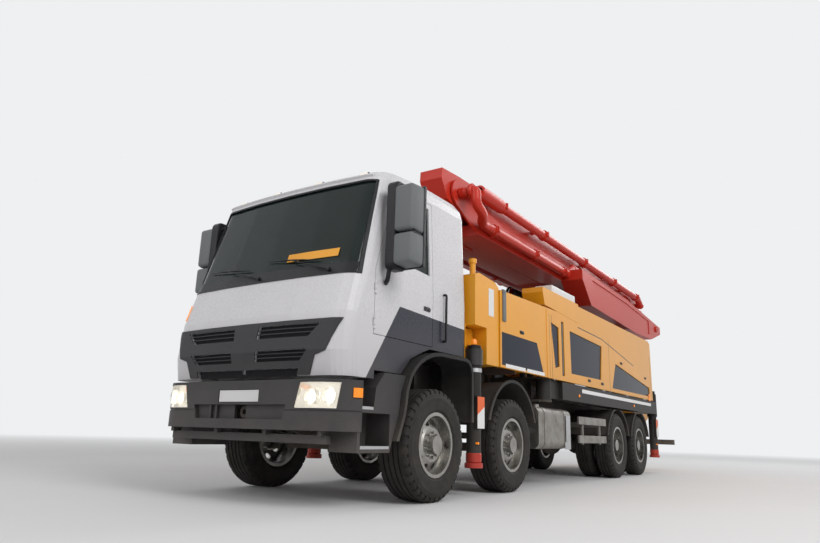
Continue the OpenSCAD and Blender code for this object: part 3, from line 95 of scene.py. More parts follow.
for method, kind in (("__add__", "ADD"), ("__sub__", "SUBTRACT"), ("__mul__", "MULTIPLY"),
                     ("__truediv__", "DIVIDE"), ("low", "MINIMUM"), ("high", "MAXIMUM"),
                     ("over", "GREATER_THAN"), ("under", "LESS_THAN"), ("size", "ABSOLUTE"),
                     ("root", "SQRT"), ("waves", "SINE")):
    give_sum(method, kind)
for method, kind in (("__radd__", "ADD"), ("__rsub__", "SUBTRACT")):
    give_sum(method, kind, swapped=True)
print("shader sums ready")

# %% [markdown]
# A finish is one material. This class starts it with the object's own coordinates, makes any node
# with its settings and inputs, and joins a number or a sum to a socket in the same way, so that
# each paint below takes only a few lines.

# %% Finish class
class Finish:
    def __init__(self, name):
        self.material = bpy.data.materials.new(name)
        self.material.use_nodes = True
        self.tree = self.material.node_tree
        self.shader = self.tree.nodes["Principled BSDF"]
        place = self.tree.nodes.new("ShaderNodeTexCoord").outputs["Object"]
        self.place = Num(self, place)
        apart = self.tree.nodes.new("ShaderNodeSeparateXYZ")
        self.tree.links.new(place, apart.inputs[0])
        self.x, self.y, self.z = (Num(self, apart.outputs[k]) for k in range(3))

    def put(self, socket, value):
        if isinstance(value, Num):
            self.tree.links.new(value.socket, socket)
        else:
            socket.default_value = value

    def node(self, kind, settings=None, inputs=None, out=0):
        made = self.tree.nodes.new(kind)
        for key, value in (settings or {}).items():
            setattr(made, key, value)
        for key, value in (inputs or {}).items():
            self.put(made.inputs[key], value)
        return Num(self, made.outputs[out])

    def noise(self, scale, detail, rough, stretch=None):
        where = self.place
        if stretch:
            where = self.node("ShaderNodeMapping", {}, {"Vector": where, "Scale": stretch})
        return self.node("ShaderNodeTexNoise", {}, {"Vector": where, "Scale": scale,
                                                    "Detail": detail, "Roughness": rough})

    def mix(self, mask, first, second):
        return self.node("ShaderNodeMix", {"data_type": "RGBA"},
                         {0: mask, 6: first, 7: second}, 2)

    def surface(self, base, rough, metal=0.0, bump=None, depth=0.0005, **more):
        self.put(self.shader.inputs["Base Color"], base)
        self.put(self.shader.inputs["Roughness"], rough)
        self.put(self.shader.inputs["Metallic"], metal)
        for name, value in more.items():
            self.put(self.shader.inputs[name.replace("_", " ")], value)
        if bump is not None:
            lifted = self.node("ShaderNodeBump", {}, {"Strength": 1.0, "Distance": depth,
                                                     "Height": bump})
            self.put(self.shader.inputs["Normal"], lifted)
        return self.material


def shade(r, g, b):
    return (r, g, b, 1.0)


print("finish class ready")

# %% [markdown]
# Everything on a working truck carries road dust. It lies thicker near the ground and in soft
# clouds, so each paint mixes its own colour with dust by height and by a slow noise. The mask
# comes from the object's own coordinates, so it runs on from panel to panel.

# %% Dusty paints
DUST = shade(0.23, 0.20, 0.17)


def dusty_paint(name, colour, dust=0.35, gloss=0.28, top=1.7, coat=0.20, patch=None, shine=0.35):
    f = Finish(name)
    cloud = f.noise(2.2, 4.0, 0.6)
    fine = f.noise(38.0, 3.0, 0.65)
    height = ((top - f.z) / top).clipped()
    mask = (height * cloud * 1.9 * dust + fine * 0.10 * dust).clipped()
    tint = f.mix((cloud * 0.7 + fine * 0.3).clipped(), shade(*[c * 0.90 for c in colour]),
                 shade(*[min(1.0, c * 1.07) for c in colour]))
    if patch is not None:
        tint = patch(f, tint)
    base = f.mix(mask, tint, DUST)
    rough = (gloss + mask * 0.55 + fine * 0.08).clipped()
    peel = f.noise(260.0, 1.0, 0.4)
    return f.surface(base, rough, bump=peel + fine * 0.6, depth=0.0004, Coat_Weight=coat,
                     Coat_Roughness=0.12, Specular_IOR_Level=shine)


# %% [markdown]
# The cab is pale, with a dark field low on its sides. The field's edge rises steeply behind the
# wheel arch and then runs level to the rear, so the mask compares the height with two lines.

# %% Cab paint
def dark_field(f, tint):
    rising = 1.24 + (5.46 - f.x) * 1.486
    level = 1.745 + (f.x - 3.81) * 0.035
    edge = rising.low(level)
    side = f.y.size().over(0.98)
    mask = f.z.under(edge) * side
    return f.mix(mask, tint, shade(0.020, 0.023, 0.038))


def door_fields(f, tint):
    # The door's paint, and black for the mirror arms that stand out from it
    arms = f.y.size().over(1.168)
    return f.mix(arms, dark_field(f, tint), shade(0.012, 0.012, 0.014))


CAB_WHITE = (0.66, 0.65, 0.67)
cab_look = {"dust": 0.45, "gloss": 0.22, "coat": 0.10, "shine": 0.28}
door_white = dusty_paint("door_white", CAB_WHITE, patch=door_fields, **cab_look)
cab_white = dusty_paint("cab_white", CAB_WHITE, patch=dark_field, **cab_look)
print("cab paints", door_white.name, cab_white.name)

# %% [markdown]
# The body is one warm yellow, the boom red, and the legs and the frame black. Two drawn solids
# are black only in places: the sleeve box, where it closes the front wheel's housing, and the
# leg's guide at the beam's outer end. A patch function changes the tint by place, so that each
# solid still keeps one material and needs no cut in its mesh.

# %% Body, boom and frame paints
DEEP_BLACK = shade(0.012, 0.012, 0.013)


def dark_front(f, tint):
    # Black in front and low down between the frame rails
    mask = f.x.over(3.70).high(f.z.under(1.50)) * f.y.size().under(1.0)
    return f.mix(mask, tint, DEEP_BLACK)


def dark_guide(f, tint):
    # Black outside the beam's end plate
    return f.mix(f.y.size().over(1.070), tint, DEEP_BLACK)


YELLOW = (0.84, 0.36, 0.012)
yellow_look = {"dust": 0.40, "gloss": 0.28}
body_yellow = dusty_paint("body_yellow", YELLOW, **yellow_look)
base_yellow = dusty_paint("base_yellow", YELLOW, patch=dark_front, **yellow_look)
beam_yellow = dusty_paint("beam_yellow", YELLOW, patch=dark_guide, **yellow_look)
boom_red = dusty_paint("boom_red", (0.58, 0.022, 0.007), dust=0.22, gloss=0.32, top=4.4, coat=0.12,
                       shine=0.28)
chassis_black = dusty_paint("chassis_black", (0.012, 0.012, 0.013), dust=0.70, gloss=0.50, coat=0.0,
                            shine=0.18)
frame_grey = dusty_paint("frame_grey", (0.07, 0.073, 0.080), dust=0.55, gloss=0.42, top=2.4,
                         coat=0.0, shine=0.22)
leg_black = dusty_paint("leg_black", (0.010, 0.010, 0.011), dust=0.30, gloss=0.38, coat=0.0,
                        shine=0.20)
pump_grey = dusty_paint("pump_grey", (0.26, 0.27, 0.28), dust=0.55, gloss=0.38)
print("yellow, red and black paints made")

# %% [markdown]
# Bumper, grille and mudguards are moulded plastic with a fine leather-like grain. The grain is a
# bump only, because the colour of the real plastic is even. Dust dulls it towards the road.

# %% Moulded plastics
def grained_plastic(name, colour, rough, dust=0.4, top=1.3, grain=420.0):
    f = Finish(name)
    cloud = f.noise(3.0, 4.0, 0.6)
    skin = f.node("ShaderNodeTexVoronoi", {"feature": "F1"}, {"Vector": f.place, "Scale": grain})
    height = ((top - f.z) / top).clipped()
    mask = (height * cloud * 1.7 * dust + cloud * 0.05).clipped()
    base = f.mix(mask, shade(*colour), DUST)
    return f.surface(base, (rough + mask * 0.4).clipped(), bump=skin, depth=0.0006,
                     Specular_IOR_Level=0.20)


bumper_grey = grained_plastic("bumper_grey", (0.036, 0.036, 0.040), rough=0.45)
guard_black = grained_plastic("guard_black", (0.020, 0.020, 0.020), rough=0.60, dust=0.6)
housing_grey = grained_plastic("housing_grey", (0.15, 0.16, 0.165), rough=0.42, dust=0.1)
trim_black = grained_plastic("trim_black", (0.010, 0.011, 0.014), rough=0.22, dust=0.1, grain=900.0)
cloth_black = grained_plastic("cloth_black", (0.020, 0.020, 0.024), rough=0.80, dust=0.0,
                              grain=700.0)
print("plastics made")

# %% [markdown]
# Bare metals differ mostly in how rough they are and in which way they were rubbed. A noise that
# is stretched along one axis looks like brushing, and a little dirt breaks the shine.

# %% Metals
def bare_metal(name, colour, rough, stretch, dirt, metal=1.0):
    f = Finish(name)
    brushed = f.noise(55.0, 3.0, 0.6, stretch)
    cloud = f.noise(7.0, 4.0, 0.6)
    mask = ((cloud - 0.42) * 2.2 * dirt).clipped()
    base = f.mix(mask, shade(*colour), shade(0.16, 0.14, 0.12))
    return f.surface(base, (rough + brushed * 0.12 + mask * 0.45).clipped(),
                     metal=(metal - mask * 0.6).clipped(), bump=brushed, depth=0.0003)


rod_chrome = bare_metal("rod_chrome", (0.80, 0.80, 0.82), 0.06, (1, 1, 12), dirt=0.1)
rim_polished = bare_metal("rim_polished", (0.40, 0.39, 0.365), 0.20, (1, 14, 1), dirt=0.9)
tank_alloy = bare_metal("tank_alloy", (0.33, 0.315, 0.29), 0.36, (14, 1, 1), dirt=0.9)
bar_alloy = bare_metal("bar_alloy", (0.55, 0.55, 0.56), 0.30, (1, 1, 14), dirt=0.3)
cast_grey = bare_metal("cast_grey", (0.20, 0.20, 0.21), 0.55, (1, 1, 1), dirt=0.8, metal=0.8)
print("metals made")

# %% [markdown]
# Tyres are never quite black. The sidewall browns with road dirt, so the rubber mixes two greys
# by noise and is kept rough, with a small bump for its moulded skin.

# %% Rubber
def worn_rubber(name, dark, pale, amount):
    f = Finish(name)
    cloud = f.noise(9.0, 5.0, 0.65)
    fine = f.noise(160.0, 2.0, 0.6)
    mask = ((cloud - 0.35) * 2.0 * amount + fine * 0.15).clipped()
    return f.surface(f.mix(mask, shade(*dark), shade(*pale)), (0.62 + mask * 0.3).clipped(),
                     bump=fine, depth=0.0008, Specular_IOR_Level=0.25)


tyre_rubber = worn_rubber("tyre_rubber", (0.013, 0.013, 0.013), (0.070, 0.060, 0.050), 0.7)
hose_rubber = worn_rubber("hose_rubber", (0.012, 0.012, 0.013), (0.05, 0.05, 0.05), 0.4)
print("rubbers made")

# %% [markdown]
# The cab's glass is tinted green. A thin pane looks right when it is mostly clear, a little
# coloured and very smooth. The lamp glass is clear and the bulbs behind it give light of
# their own, which stays the same all over and so is set on the shader itself.

# %% Glass and lights
LAMP_WARM = (1.0, 0.86, 0.60)


def pane(name, colour, alpha, rough=0.04, coat=0.6, shine=0.5, light=(0, 0, 0), power=0.0):
    f = Finish(name)
    film = f.noise(3.0, 3.0, 0.6)
    hazed = shade(*[c * 1.6 + 0.006 for c in colour])
    return f.surface(f.mix((film * 0.5).clipped(), shade(*colour), hazed),
                     (rough + film * 0.05).clipped(), Coat_Weight=coat, Coat_Roughness=0.03,
                     Specular_IOR_Level=shine, Alpha=(alpha + film * 0.08).clipped(),
                     Emission_Color=shade(*light), Emission_Strength=power)


cab_pane = pane("cab_pane", (0.006, 0.014, 0.012), 0.74, coat=0.10, shine=0.30)
lens_clear = pane("lens_clear", (0.75, 0.74, 0.70), 0.30, 0.02, light=(1.0, 0.84, 0.55), power=0.32)
dark_pane = pane("dark_pane", (0.006, 0.009, 0.022), 1.0, 0.16, coat=0.0, shine=0.12)


def glow(name, colour, light, power):
    f = Finish(name)
    ribs = (f.y * 260.0).waves() * 0.5 + 0.5
    return f.surface(f.mix(ribs, shade(*[c * 0.85 for c in colour]), shade(*colour)), 0.18,
                     bump=ribs, depth=0.0008, Emission_Color=shade(*light),
                     Emission_Strength=power)


head_glow = glow("head_glow", (0.95, 0.90, 0.78), LAMP_WARM, 2.6)
soft_glow = glow("soft_glow", (0.90, 0.86, 0.78), LAMP_WARM, 0.3)
amber_glow = glow("amber_glow", (0.85, 0.24, 0.015), (1.0, 0.30, 0.02), 0.35)
red_glow = glow("red_glow", (0.55, 0.02, 0.02), (1.0, 0.04, 0.02), 0.15)
reflector = bare_metal("reflector", (0.90, 0.90, 0.90), 0.05, (1, 1, 1), dirt=0.0)
print("glass and lights made")

# %% [markdown]
# The white strips throw light back from tiny cells, which a Voronoi pattern of cell edges gives.
# The boards on the legs are orange above and white below, parted by a slanted line. Both boards
# share one material, so the mask first finds which board it is on.

# %% Strips, boards and blank plates
def strip_finish():
    f = Finish("strip_white")
    cells = f.node("ShaderNodeTexVoronoi", {"feature": "DISTANCE_TO_EDGE"},
                   {"Vector": f.place, "Scale": 220.0})
    mask = cells.under(0.05)
    return f.surface(f.mix(mask, shade(0.88, 0.88, 0.87), shade(0.62, 0.62, 0.62)), 0.30,
                     bump=cells, depth=0.0003)


front_leg_x, rear_leg_x = 3.630, -4.130


def warning_board():
    f = Finish("warning_board")
    middle = f.x.over(0.0) * (front_leg_x - rear_leg_x) + rear_leg_x
    mask = (f.z + (f.x - middle) * 0.55).under(0.890)
    fine = f.noise(60.0, 2.0, 0.5)
    return f.surface(f.mix(mask, shade(0.80, 0.13, 0.02), shade(0.82, 0.82, 0.80)),
                     (0.35 + fine * 0.1).clipped(), bump=fine, depth=0.0003)


strip_white = strip_finish()
board_bands = warning_board()
plate_white = dusty_paint("plate_white", (0.78, 0.78, 0.78), dust=0.3, gloss=0.35)
print("finishes", len(bpy.data.materials))

# %% [markdown]
# The nodes that come from the drawing keep their shapes and only take a finish. One table says
# how the names start that each finish goes to, and the first row that fits a name is used.

# %% Finishes on the solids
finish_by_start = (
    (chassis_black, "frame axle_beams knuckle"), (cast_grey, "engine_block"),
    (bumper_grey, "bumper grille"), (amber_glow, "lamps"), (guard_black, "mudguards"),
    (tank_alloy, "side_tanks"), (base_yellow, "boom_base"), (beam_yellow, "front_beam"),
    (frame_grey, "deck hopper_grate"), (body_yellow, "water_tanks side_panels hopper"),
    (dark_pane, "panel_inserts"), (pump_grey, "pump_unit"), (cab_white, "cab_shell"),
    (cloth_black, "cab_interior"), (cab_pane, "cab_glass door_glass"), (door_white, "door"),
    (boom_red, "turret lift_barrel arm_"), (rod_chrome, "lift_rod"), (tyre_rubber, "tyre"),
    (rim_polished, "rim"), (leg_black, "rear_beam front_leg rear_leg"))
for name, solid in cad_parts.items():
    finish = next(f for f, starts in finish_by_start if name.startswith(tuple(starts.split())))
    solid.data.materials.clear()
    solid.data.materials.append(finish)
print("finished solids", len(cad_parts))

# %% [markdown]
# Every added piece ends the same way: its place goes into the mesh, it gets its name and finish,
# and it is fixed to its body. Most pieces are trim on the chassis, so that is what is meant when
# a call names no body. Pieces of the left side are mirrored for the right.

# %% Handling pieces
def clear_selection():
    if bpy.context.object and bpy.context.object.mode != "OBJECT":
        bpy.ops.object.mode_set(mode="OBJECT")
    bpy.ops.object.select_all(action="DESELECT")


def pick(*pieces):
    # Selects these pieces only and makes the first one active
    bpy.ops.object.select_all(action="DESELECT")
    for piece in pieces:
        piece.select_set(True)
    bpy.context.view_layer.objects.active = pieces[0]


def settle(piece, name, finish, body="chassis", slot_name="trim_plastic"):
    pick(piece)
    bpy.ops.object.transform_apply(location=True, rotation=True, scale=True)
    piece.name = piece.data.name = name
    piece.data.materials.clear()
    piece.data.materials.append(finish)
    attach(piece, body)
    print(name, "on", body, "with", len(piece.data.polygons), "faces")
    return piece


def joined(parts):
    pick(*parts)
    bpy.ops.object.join()
    return bpy.context.object


def copied(piece, shift=(0, 0, 0), flip=False):
    twin = piece.copy()
    twin.data = piece.data.copy()
    bpy.context.scene.collection.objects.link(twin)
    move = Matrix.Translation(shift)
    if flip:
        move = move @ Matrix.Scale(-1, 4, (0, 1, 0))
    twin.data.transform(move)
    if flip:
        twin.data.flip_normals()
    return twin


def both(parts_of_left):
    # The left-hand pieces and their mirror images as one list
    return parts_of_left + [copied(p, flip=True) for p in parts_of_left]


def settle_pair(parts_of_left, name, finish, body="chassis", slot_name="trim_plastic"):
    # Left and right joined to one piece
    return settle(joined(both(parts_of_left)), name, finish, body, slot_name)


def settle_sides(piece, name, finish, body, slot_name="trim_plastic"):
    # A piece for each side: as made on the left, mirrored on the right
    mirrored = copied(piece, flip=True)
    return [settle(part, f"{name}_{side}", finish, body.format(side=side), slot_name)
            for side, part in (("left", piece), ("right", mirrored))]


print("pieces can be joined, mirrored and settled")

# %% [markdown]
# Small pieces start in the same few ways, so each way is written once. A block starts as a cube
# and gets rounded edges; a rod starts as a cylinder between two points and gets softened ends.
# Places are in metres in the truck's own axes: X forward, Y left, Z up.

# %% Blocks and rods
def use(piece, kind, **settings):
    made = piece.modifiers.new(kind.title(), kind)
    for key, value in settings.items():
        setattr(made, key, value)
    bpy.context.view_layer.objects.active = piece
    bpy.ops.object.modifier_apply(modifier=made.name)


def start_block(low, high, soft, steps=2):
    clear_selection()
    middle = [(a + b) / 2 for a, b in zip(low, high)]
    bpy.ops.mesh.primitive_cube_add(size=1, location=middle)
    piece = bpy.context.object
    piece.scale = [abs(b - a) for a, b in zip(low, high)]
    bpy.ops.object.transform_apply(location=True, rotation=False, scale=True)
    if soft:
        use(piece, "BEVEL", width=soft, segments=steps)
    return piece


def start_rod(a, b, radius, sides, soft=0.003):
    clear_selection()
    a, b = Vector(a), Vector(b)
    run = b - a
    bpy.ops.mesh.primitive_cylinder_add(vertices=sides, radius=radius, depth=run.length,
                                        location=(a + b) / 2)
    piece = bpy.context.object
    piece.rotation_euler = run.to_track_quat("Z", "Y").to_euler()
    bpy.ops.object.transform_apply(location=True, rotation=True, scale=True)
    if soft:
        use(piece, "BEVEL", width=soft, segments=2, angle_limit=math.radians(50))
    bpy.ops.object.shade_smooth_by_angle(angle=math.radians(40))
    return piece


print("blocks and rods can be made")

# %% [markdown]
# Plates, tyres and turned parts all start as a ring of points that takes the places of an
# outline. The ring is filled and pushed out to a plate, or spun about an axis in edit mode.

# %% Rings of points
def shape_mesh(*steps):
    # Runs each operator in edit mode on the whole mesh
    bpy.ops.object.mode_set(mode="EDIT")
    for operator, settings in steps:
        bpy.ops.mesh.select_all(action="SELECT")
        operator(**settings)
    bpy.ops.object.mode_set(mode="OBJECT")


def start_loop(places, fill="NOTHING"):
    clear_selection()
    bpy.ops.mesh.primitive_circle_add(vertices=len(places), radius=1, fill_type=fill,
                                      location=(0, 0, 0))
    piece = bpy.context.object
    for point, place in zip(piece.data.vertices, places):
        point.co = place
    return piece


def spin_loop(steps, centre, axis, merge):
    shape_mesh((bpy.ops.mesh.spin, {"steps": steps, "angle": 2 * math.pi, "center": centre,
                                    "axis": axis}),
               (bpy.ops.mesh.remove_doubles, {"threshold": merge}),
               (bpy.ops.mesh.normals_make_consistent, {"inside": False}))


def ring_of(count, r, start=0.0):
    # Places set evenly round a circle
    turns = [start + 2 * math.pi * k / count for k in range(count)]
    return [(r * math.cos(t), r * math.sin(t)) for t in turns]


print("rings can be filled and spun")

# %% [markdown]
# A tyre starts as a ring of points in the shape of its section: bead, sidewall, shoulder and a
# tread with grooves. Spinning that loop about the axle gives the tyre, and then every third
# step of the shoulders is pressed in to leave the lugs that show from the front.

# %% Tyre maker
tyre_r, rim_r, hub_z = 0.530, 0.2863, 0.530


def tyre_section(width):
    half = width / 2
    bead = half - 0.028
    wall = rim_r + 0.45 * (tyre_r - rim_r)
    side = [(rim_r, bead), (rim_r + 0.023, bead), (rim_r + 0.030, bead + 0.008),
            (rim_r + 0.040, half - 0.012), (rim_r + 0.046, half - 0.007),
            (wall - 0.030, half - 0.003), (wall, half), (wall + 0.040, half - 0.001),
            (wall + 0.046, half), (wall + 0.055, half - 0.004),
            (tyre_r - 0.052, half - 0.010), (tyre_r - 0.046, half - 0.016),
            (tyre_r - 0.020, half - 0.022), (tyre_r - 0.006, half - 0.036)]
    tread = [(tyre_r, half - 0.052)]
    grooves = 4 if width > 0.33 else 3
    for k in range(grooves):
        at = (half - 0.045) - (2 * half - 0.09) * (k + 1) / (grooves + 1)
        tread += [(tyre_r, at + 0.008), (tyre_r - 0.015, at + 0.005),
                  (tyre_r - 0.015, at - 0.005), (tyre_r, at - 0.008)]
    tread += [(tyre_r, -(half - 0.052))]
    return side + tread + [(r, -y) for r, y in reversed(side)]


def make_tyre(name, x, y, width, steps=112):
    piece = start_loop([(x, y + across, hub_z + r) for r, across in tyre_section(width)])
    spin_loop(steps, (x, 0, hub_z), (0, 1, 0), 0.0004)
    shape_mesh((bpy.ops.mesh.select_all, {"action": "DESELECT"}))
    step = 2 * math.pi / steps
    for face in piece.data.polygons:
        c = face.center
        r = math.hypot(c.x - x, c.z - hub_z)
        turn = math.atan2(c.z - hub_z, c.x - x) / step
        shoulder = abs(c.y - y) > width / 2 - 0.058 and r > tyre_r - 0.047
        face.select = shoulder and int(turn + 1000 * steps) % 3 == 0
    bpy.ops.object.mode_set(mode="EDIT")
    bpy.ops.mesh.select_mode(type="FACE")
    bpy.ops.mesh.extrude_region_shrink_fatten(TRANSFORM_OT_shrink_fatten={"value": -0.010})
    bpy.ops.object.mode_set(mode="OBJECT")
    bpy.ops.object.shade_smooth_by_angle(angle=math.radians(28))
    piece.name = name
    return piece


print("tyre section of", len(tyre_section(0.370)), "points")

# %% [markdown]
# Two patterns are enough: a wide single tyre for the steered axles and a pair of narrower ones
# for the driven axles. Each wheel gets a copy with its own mesh, moved to its axle and mirrored
# for the right side, and the copy stands for the plain solid tyre.

# %% Tyres on the wheels
axle_x = {1: 4.510, 2: 2.810, 3: -1.370, 4: -2.720}
steer_y, twin_out_y, twin_in_y = 1.055, 1.0975, 0.7625
one_steer = make_tyre("steer_pattern", axle_x[1], steer_y, 0.370)
one_twin = joined([make_tyre("outer", axle_x[3], twin_out_y, 0.285),
                   make_tyre("inner", axle_x[3], twin_in_y, 0.285)])
for axle, x in axle_x.items():
    pattern = one_steer if axle < 3 else one_twin
    from_x = axle_x[1] if axle < 3 else axle_x[3]
    for side, flip in (("left", False), ("right", True)):
        tyre = copied(pattern, (x - from_x, 0, 0), flip)
        settle(tyre, f"tread_{axle}_{side}", tyre_rubber, f"wheel_{axle}_{side}", "tyre_rubber")
        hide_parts(f"tyre_{axle}_{side}")
for pattern in (one_steer, one_twin):
    bpy.data.objects.remove(pattern)
print("wheels with treads", 2 * len(axle_x))

# %% [markdown]
# Many small parts are flat: a plate, a strip, a board. Each starts as a filled outline, and an
# extrude gives it its thickness. Turned parts, such as caps, rings and beacons, spin a closed
# section about their axis, as the tyres do.

# %% Plates and turned parts
def start_plate(outline, axis, low, high, soft=0.0):
    piece = start_loop([{"x": (low, a, b), "y": (a, low, b), "z": (a, b, low)}[axis]
                        for a, b in outline], "NGON")
    shift = [high - low if name == axis else 0.0 for name in "xyz"]
    shape_mesh((bpy.ops.mesh.extrude_region_move, {"TRANSFORM_OT_translate": {"value": shift}}),
               (bpy.ops.mesh.normals_make_consistent, {"inside": False}))
    if soft:
        use(piece, "BEVEL", width=soft, segments=2)
    return piece


def start_turned(section, centre, axis, steps=28):
    # The section is a closed loop of (radius, distance along the axis)
    cx, cy, cz = centre
    piece = start_loop([{"x": (cx + along, cy + r, cz), "y": (cx + r, cy + along, cz),
                         "z": (cx + r, cy, cz + along)}[axis] for r, along in section])
    spin_loop(steps, centre, [1.0 if name == axis else 0.0 for name in "xyz"], 0.0002)
    bpy.ops.object.shade_smooth_by_angle(angle=math.radians(35))
    return piece


def corners(a0, a1, b0, b1):
    return [(a0, b0), (a1, b0), (a1, b1), (a0, b1)]


def domed(radius, height, lip=0.001):
    # Section of a round cap with a curved edge, standing on its axis at 0
    return [(0.0, 0.0), (radius, 0.0), (radius, lip), (radius * 0.93, height * 0.55),
            (radius * 0.70, height * 0.90), (radius * 0.35, height), (0.0, height)]


def rounded_box(a0, a1, b0, b1, r, steps=4):
    # Outline of a rectangle with round corners
    points = []
    for (ca, cb, from_turn) in ((a1 - r, b1 - r, 0), (a0 + r, b1 - r, 90), (a0 + r, b0 + r, 180),
                                (a1 - r, b0 + r, 270)):
        for k in range(steps + 1):
            turn_at = math.radians(from_turn + 90 * k / steps)
            points.append((ca + r * math.cos(turn_at), cb + r * math.sin(turn_at)))
    return points


print("plates and turned parts can be made")

# %% [markdown]
# A bent pipe is a smooth line with a round section. The line's corners are rounded first, so that
# the pipe turns on a true radius as a real elbow does, and the curve is then made a mesh.

# %% Bent pipes
def start_pipe(route, radius, bend, sides=3):
    route = [Vector(p) for p in route]
    line = [route[0]]
    for before, corner, after in zip(route, route[1:], route[2:]):
        back, on = (before - corner).normalized(), (after - corner).normalized()
        reach = min(bend, (before - corner).length * 0.48, (after - corner).length * 0.48)
        for k in range(7):
            t = k / 6
            line.append((corner + back * reach) * (1 - t) ** 2 + corner * 2 * t * (1 - t)
                        + (corner + on * reach) * t ** 2)
    line.append(route[-1])
    clear_selection()
    data = bpy.data.curves.new("bent_pipe", "CURVE")
    data.dimensions = "3D"
    data.bevel_depth = radius
    data.bevel_resolution = sides
    data.use_fill_caps = True
    spline = data.splines.new("POLY")
    spline.points.add(len(line) - 1)
    for point, place in zip(spline.points, line):
        point.co = (*place, 1.0)
    piece = bpy.data.objects.new("bent_pipe", data)
    bpy.context.scene.collection.objects.link(piece)
    pick(piece)
    bpy.ops.object.convert(target="MESH")
    piece = bpy.context.object
    bpy.ops.object.shade_smooth_by_angle(angle=math.radians(40))
    return piece


print("bent pipes can be made")

# %% [markdown]
# Lamp glass, seals and strips lie on curved faces. Each starts as a flat grid, and a function
# says where on the face each point goes. A Solidify modifier gives it a wall.

# %% Skins on curved faces
def start_grid(place, columns, rows):
    # place(u, v) gives the point for u and v from 0 to 1
    clear_selection()
    bpy.ops.mesh.primitive_grid_add(x_subdivisions=columns, y_subdivisions=rows, size=2,
                                    location=(0, 0, 0))
    piece = bpy.context.object
    for point in piece.data.vertices:
        point.co = place(point.co.x / 2 + 0.5, point.co.y / 2 + 0.5)
    return piece


def start_skin(place, columns=16, rows=6, wall=0.003):
    piece = start_grid(place, columns, rows)
    shape_mesh((bpy.ops.mesh.normals_make_consistent, {"inside": False}))
    use(piece, "SOLIDIFY", thickness=wall, offset=0.0)
    bpy.ops.object.shade_smooth_by_angle(angle=math.radians(40))
    return piece


print("skins can be made")

# %% [markdown]
# The bumper's plan is flat in front and round at both corners, and the lamps follow it. The same
# rule as in the drawing gives how far forward the bumper's face is at each distance from the
# middle, so that lenses, lamp bowls and the plate sit in their recesses.

# %% Headlamps
nose_x = 5.950
corner_r, flat_y = 0.420, 0.830
lamp_low, lamp_high = 0.812, 1.025
lamp_inner, lamp_outer = (0.700, 0.755), (1.092, 1.117)


def bumper_face(y, inside):
    across = max(0.0, abs(y) - flat_y)
    r = corner_r - inside
    return nose_x - corner_r + math.sqrt(max(0.0, r * r - across * across))


def lamp_place(u, v, inside, edge=0.002):
    low_side, high_side = (a + (b - a) * v for a, b in (lamp_inner, lamp_outer))
    y = low_side + edge + (high_side - low_side - 2 * edge) * u
    return (bumper_face(y, inside), y, lamp_low + edge + (lamp_high - lamp_low - 2 * edge) * v)


def lamp_bowl():
    # Bright tub: a floor set back in the recess, with its rim drawn forward to the lens
    tub = start_skin(lambda u, v: lamp_place(u, v, 0.062), wall=0.004)
    walls = []
    ring = corners(0.0, 1.0, 0.0, 1.0)
    for low, high in zip(ring, ring[1:] + ring[:1]):
        def wall_place(u, v, low=low, high=high):
            along = [a + (b - a) * u for a, b in zip(low, high)]
            return lamp_place(along[0], along[1], 0.060 - 0.050 * v)
        walls.append(start_skin(wall_place, rows=1, wall=0.003))
    return joined([tub] + walls)


def reflector_bowl(y, z, r):
    x = bumper_face(y, 0.058)
    return start_turned([(0.006, 0.0), (r * 0.6, 0.010), (r * 0.85, 0.022), (r, 0.038),
                         (r + 0.004, 0.038), (r * 0.88, 0.018), (r * 0.6, 0.004),
                         (0.006, -0.003)], (x, y, z), "x")


def bulb(y, z, r):
    x = bumper_face(y, 0.050)
    return start_turned([(0.0, 0.0), (r, 0.004), (r, 0.016), (r * 0.6, 0.024), (0.0, 0.026)],
                        (x, y, z), "x", steps=20)


bowls = ((1.020, 0.915, 0.070), (0.860, 0.905, 0.062))
lens = start_skin(lambda u, v: lamp_place(u, v, 0.004), wall=0.003)
dishes = joined([reflector_bowl(*bowl) for bowl in bowls])
lights = joined([bulb(y, z, r * 0.72) for y, z, r in bowls])
for piece, name, finish in ((lamp_bowl(), "lamp_tub", reflector), (dishes, "lamp_dishes", reflector),
                            (lights, "lamp_bulbs", head_glow),
                            (bulb(0.785, 0.985, 0.022), "turn_bulb", amber_glow)):
    settle_sides(piece, name, finish, "chassis", "lamp_plastic")
for one_lens in settle_sides(lens, "lamp_lens", lens_clear, "chassis", "lamp_plastic"):
    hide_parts("lamps")
print("lamp recess", round(lamp_outer[0] - lamp_inner[0], 3), "m wide at its foot")

# %% [markdown]
# The turn lamps wrap round the bumper's corners, so they are laid on the same curve. The rear
# lamps are round and turned about their own axes, three on each side. The number plate is left
# blank, in a thin black frame.

# %% Side and rear lamps, plate
def side_turn_lamp(x0, x1, z0, z1):
    def place(u, v):
        x = x0 + (x1 - x0) * u
        ahead_of_corner = x - (nose_x - corner_r)
        y = flat_y + math.sqrt(max(0.0, (corner_r + 0.009) ** 2 - ahead_of_corner ** 2))
        return (x, y, z0 + (z1 - z0) * v)
    return start_skin(place, 8, 3, 0.008)


settle_pair([side_turn_lamp(5.690, 5.764, 0.906, 0.984)], "side_turn_lamps", amber_glow, "chassis",
            "lamp_plastic")
tail_x, tail_z, tail_rows = -5.890, 0.595, (0.56, 0.70, 0.84)
tail_section = [(0.0, 0.0), (0.045, 0.0), (0.045, -0.018), (0.038, -0.026), (0.0, -0.028)]
rim_section = corners(0.0455, 0.051, 0.0, -0.014)
for section, name, finish, slot_name in (
        (tail_section, "tail_lamps", red_glow, "lamp_plastic"),
        (rim_section, "tail_lamp_rims", trim_black, "trim_plastic")):
    settle_pair([start_turned(section, (tail_x, y, tail_z), "x") for y in tail_rows], name, finish,
                "chassis", slot_name)

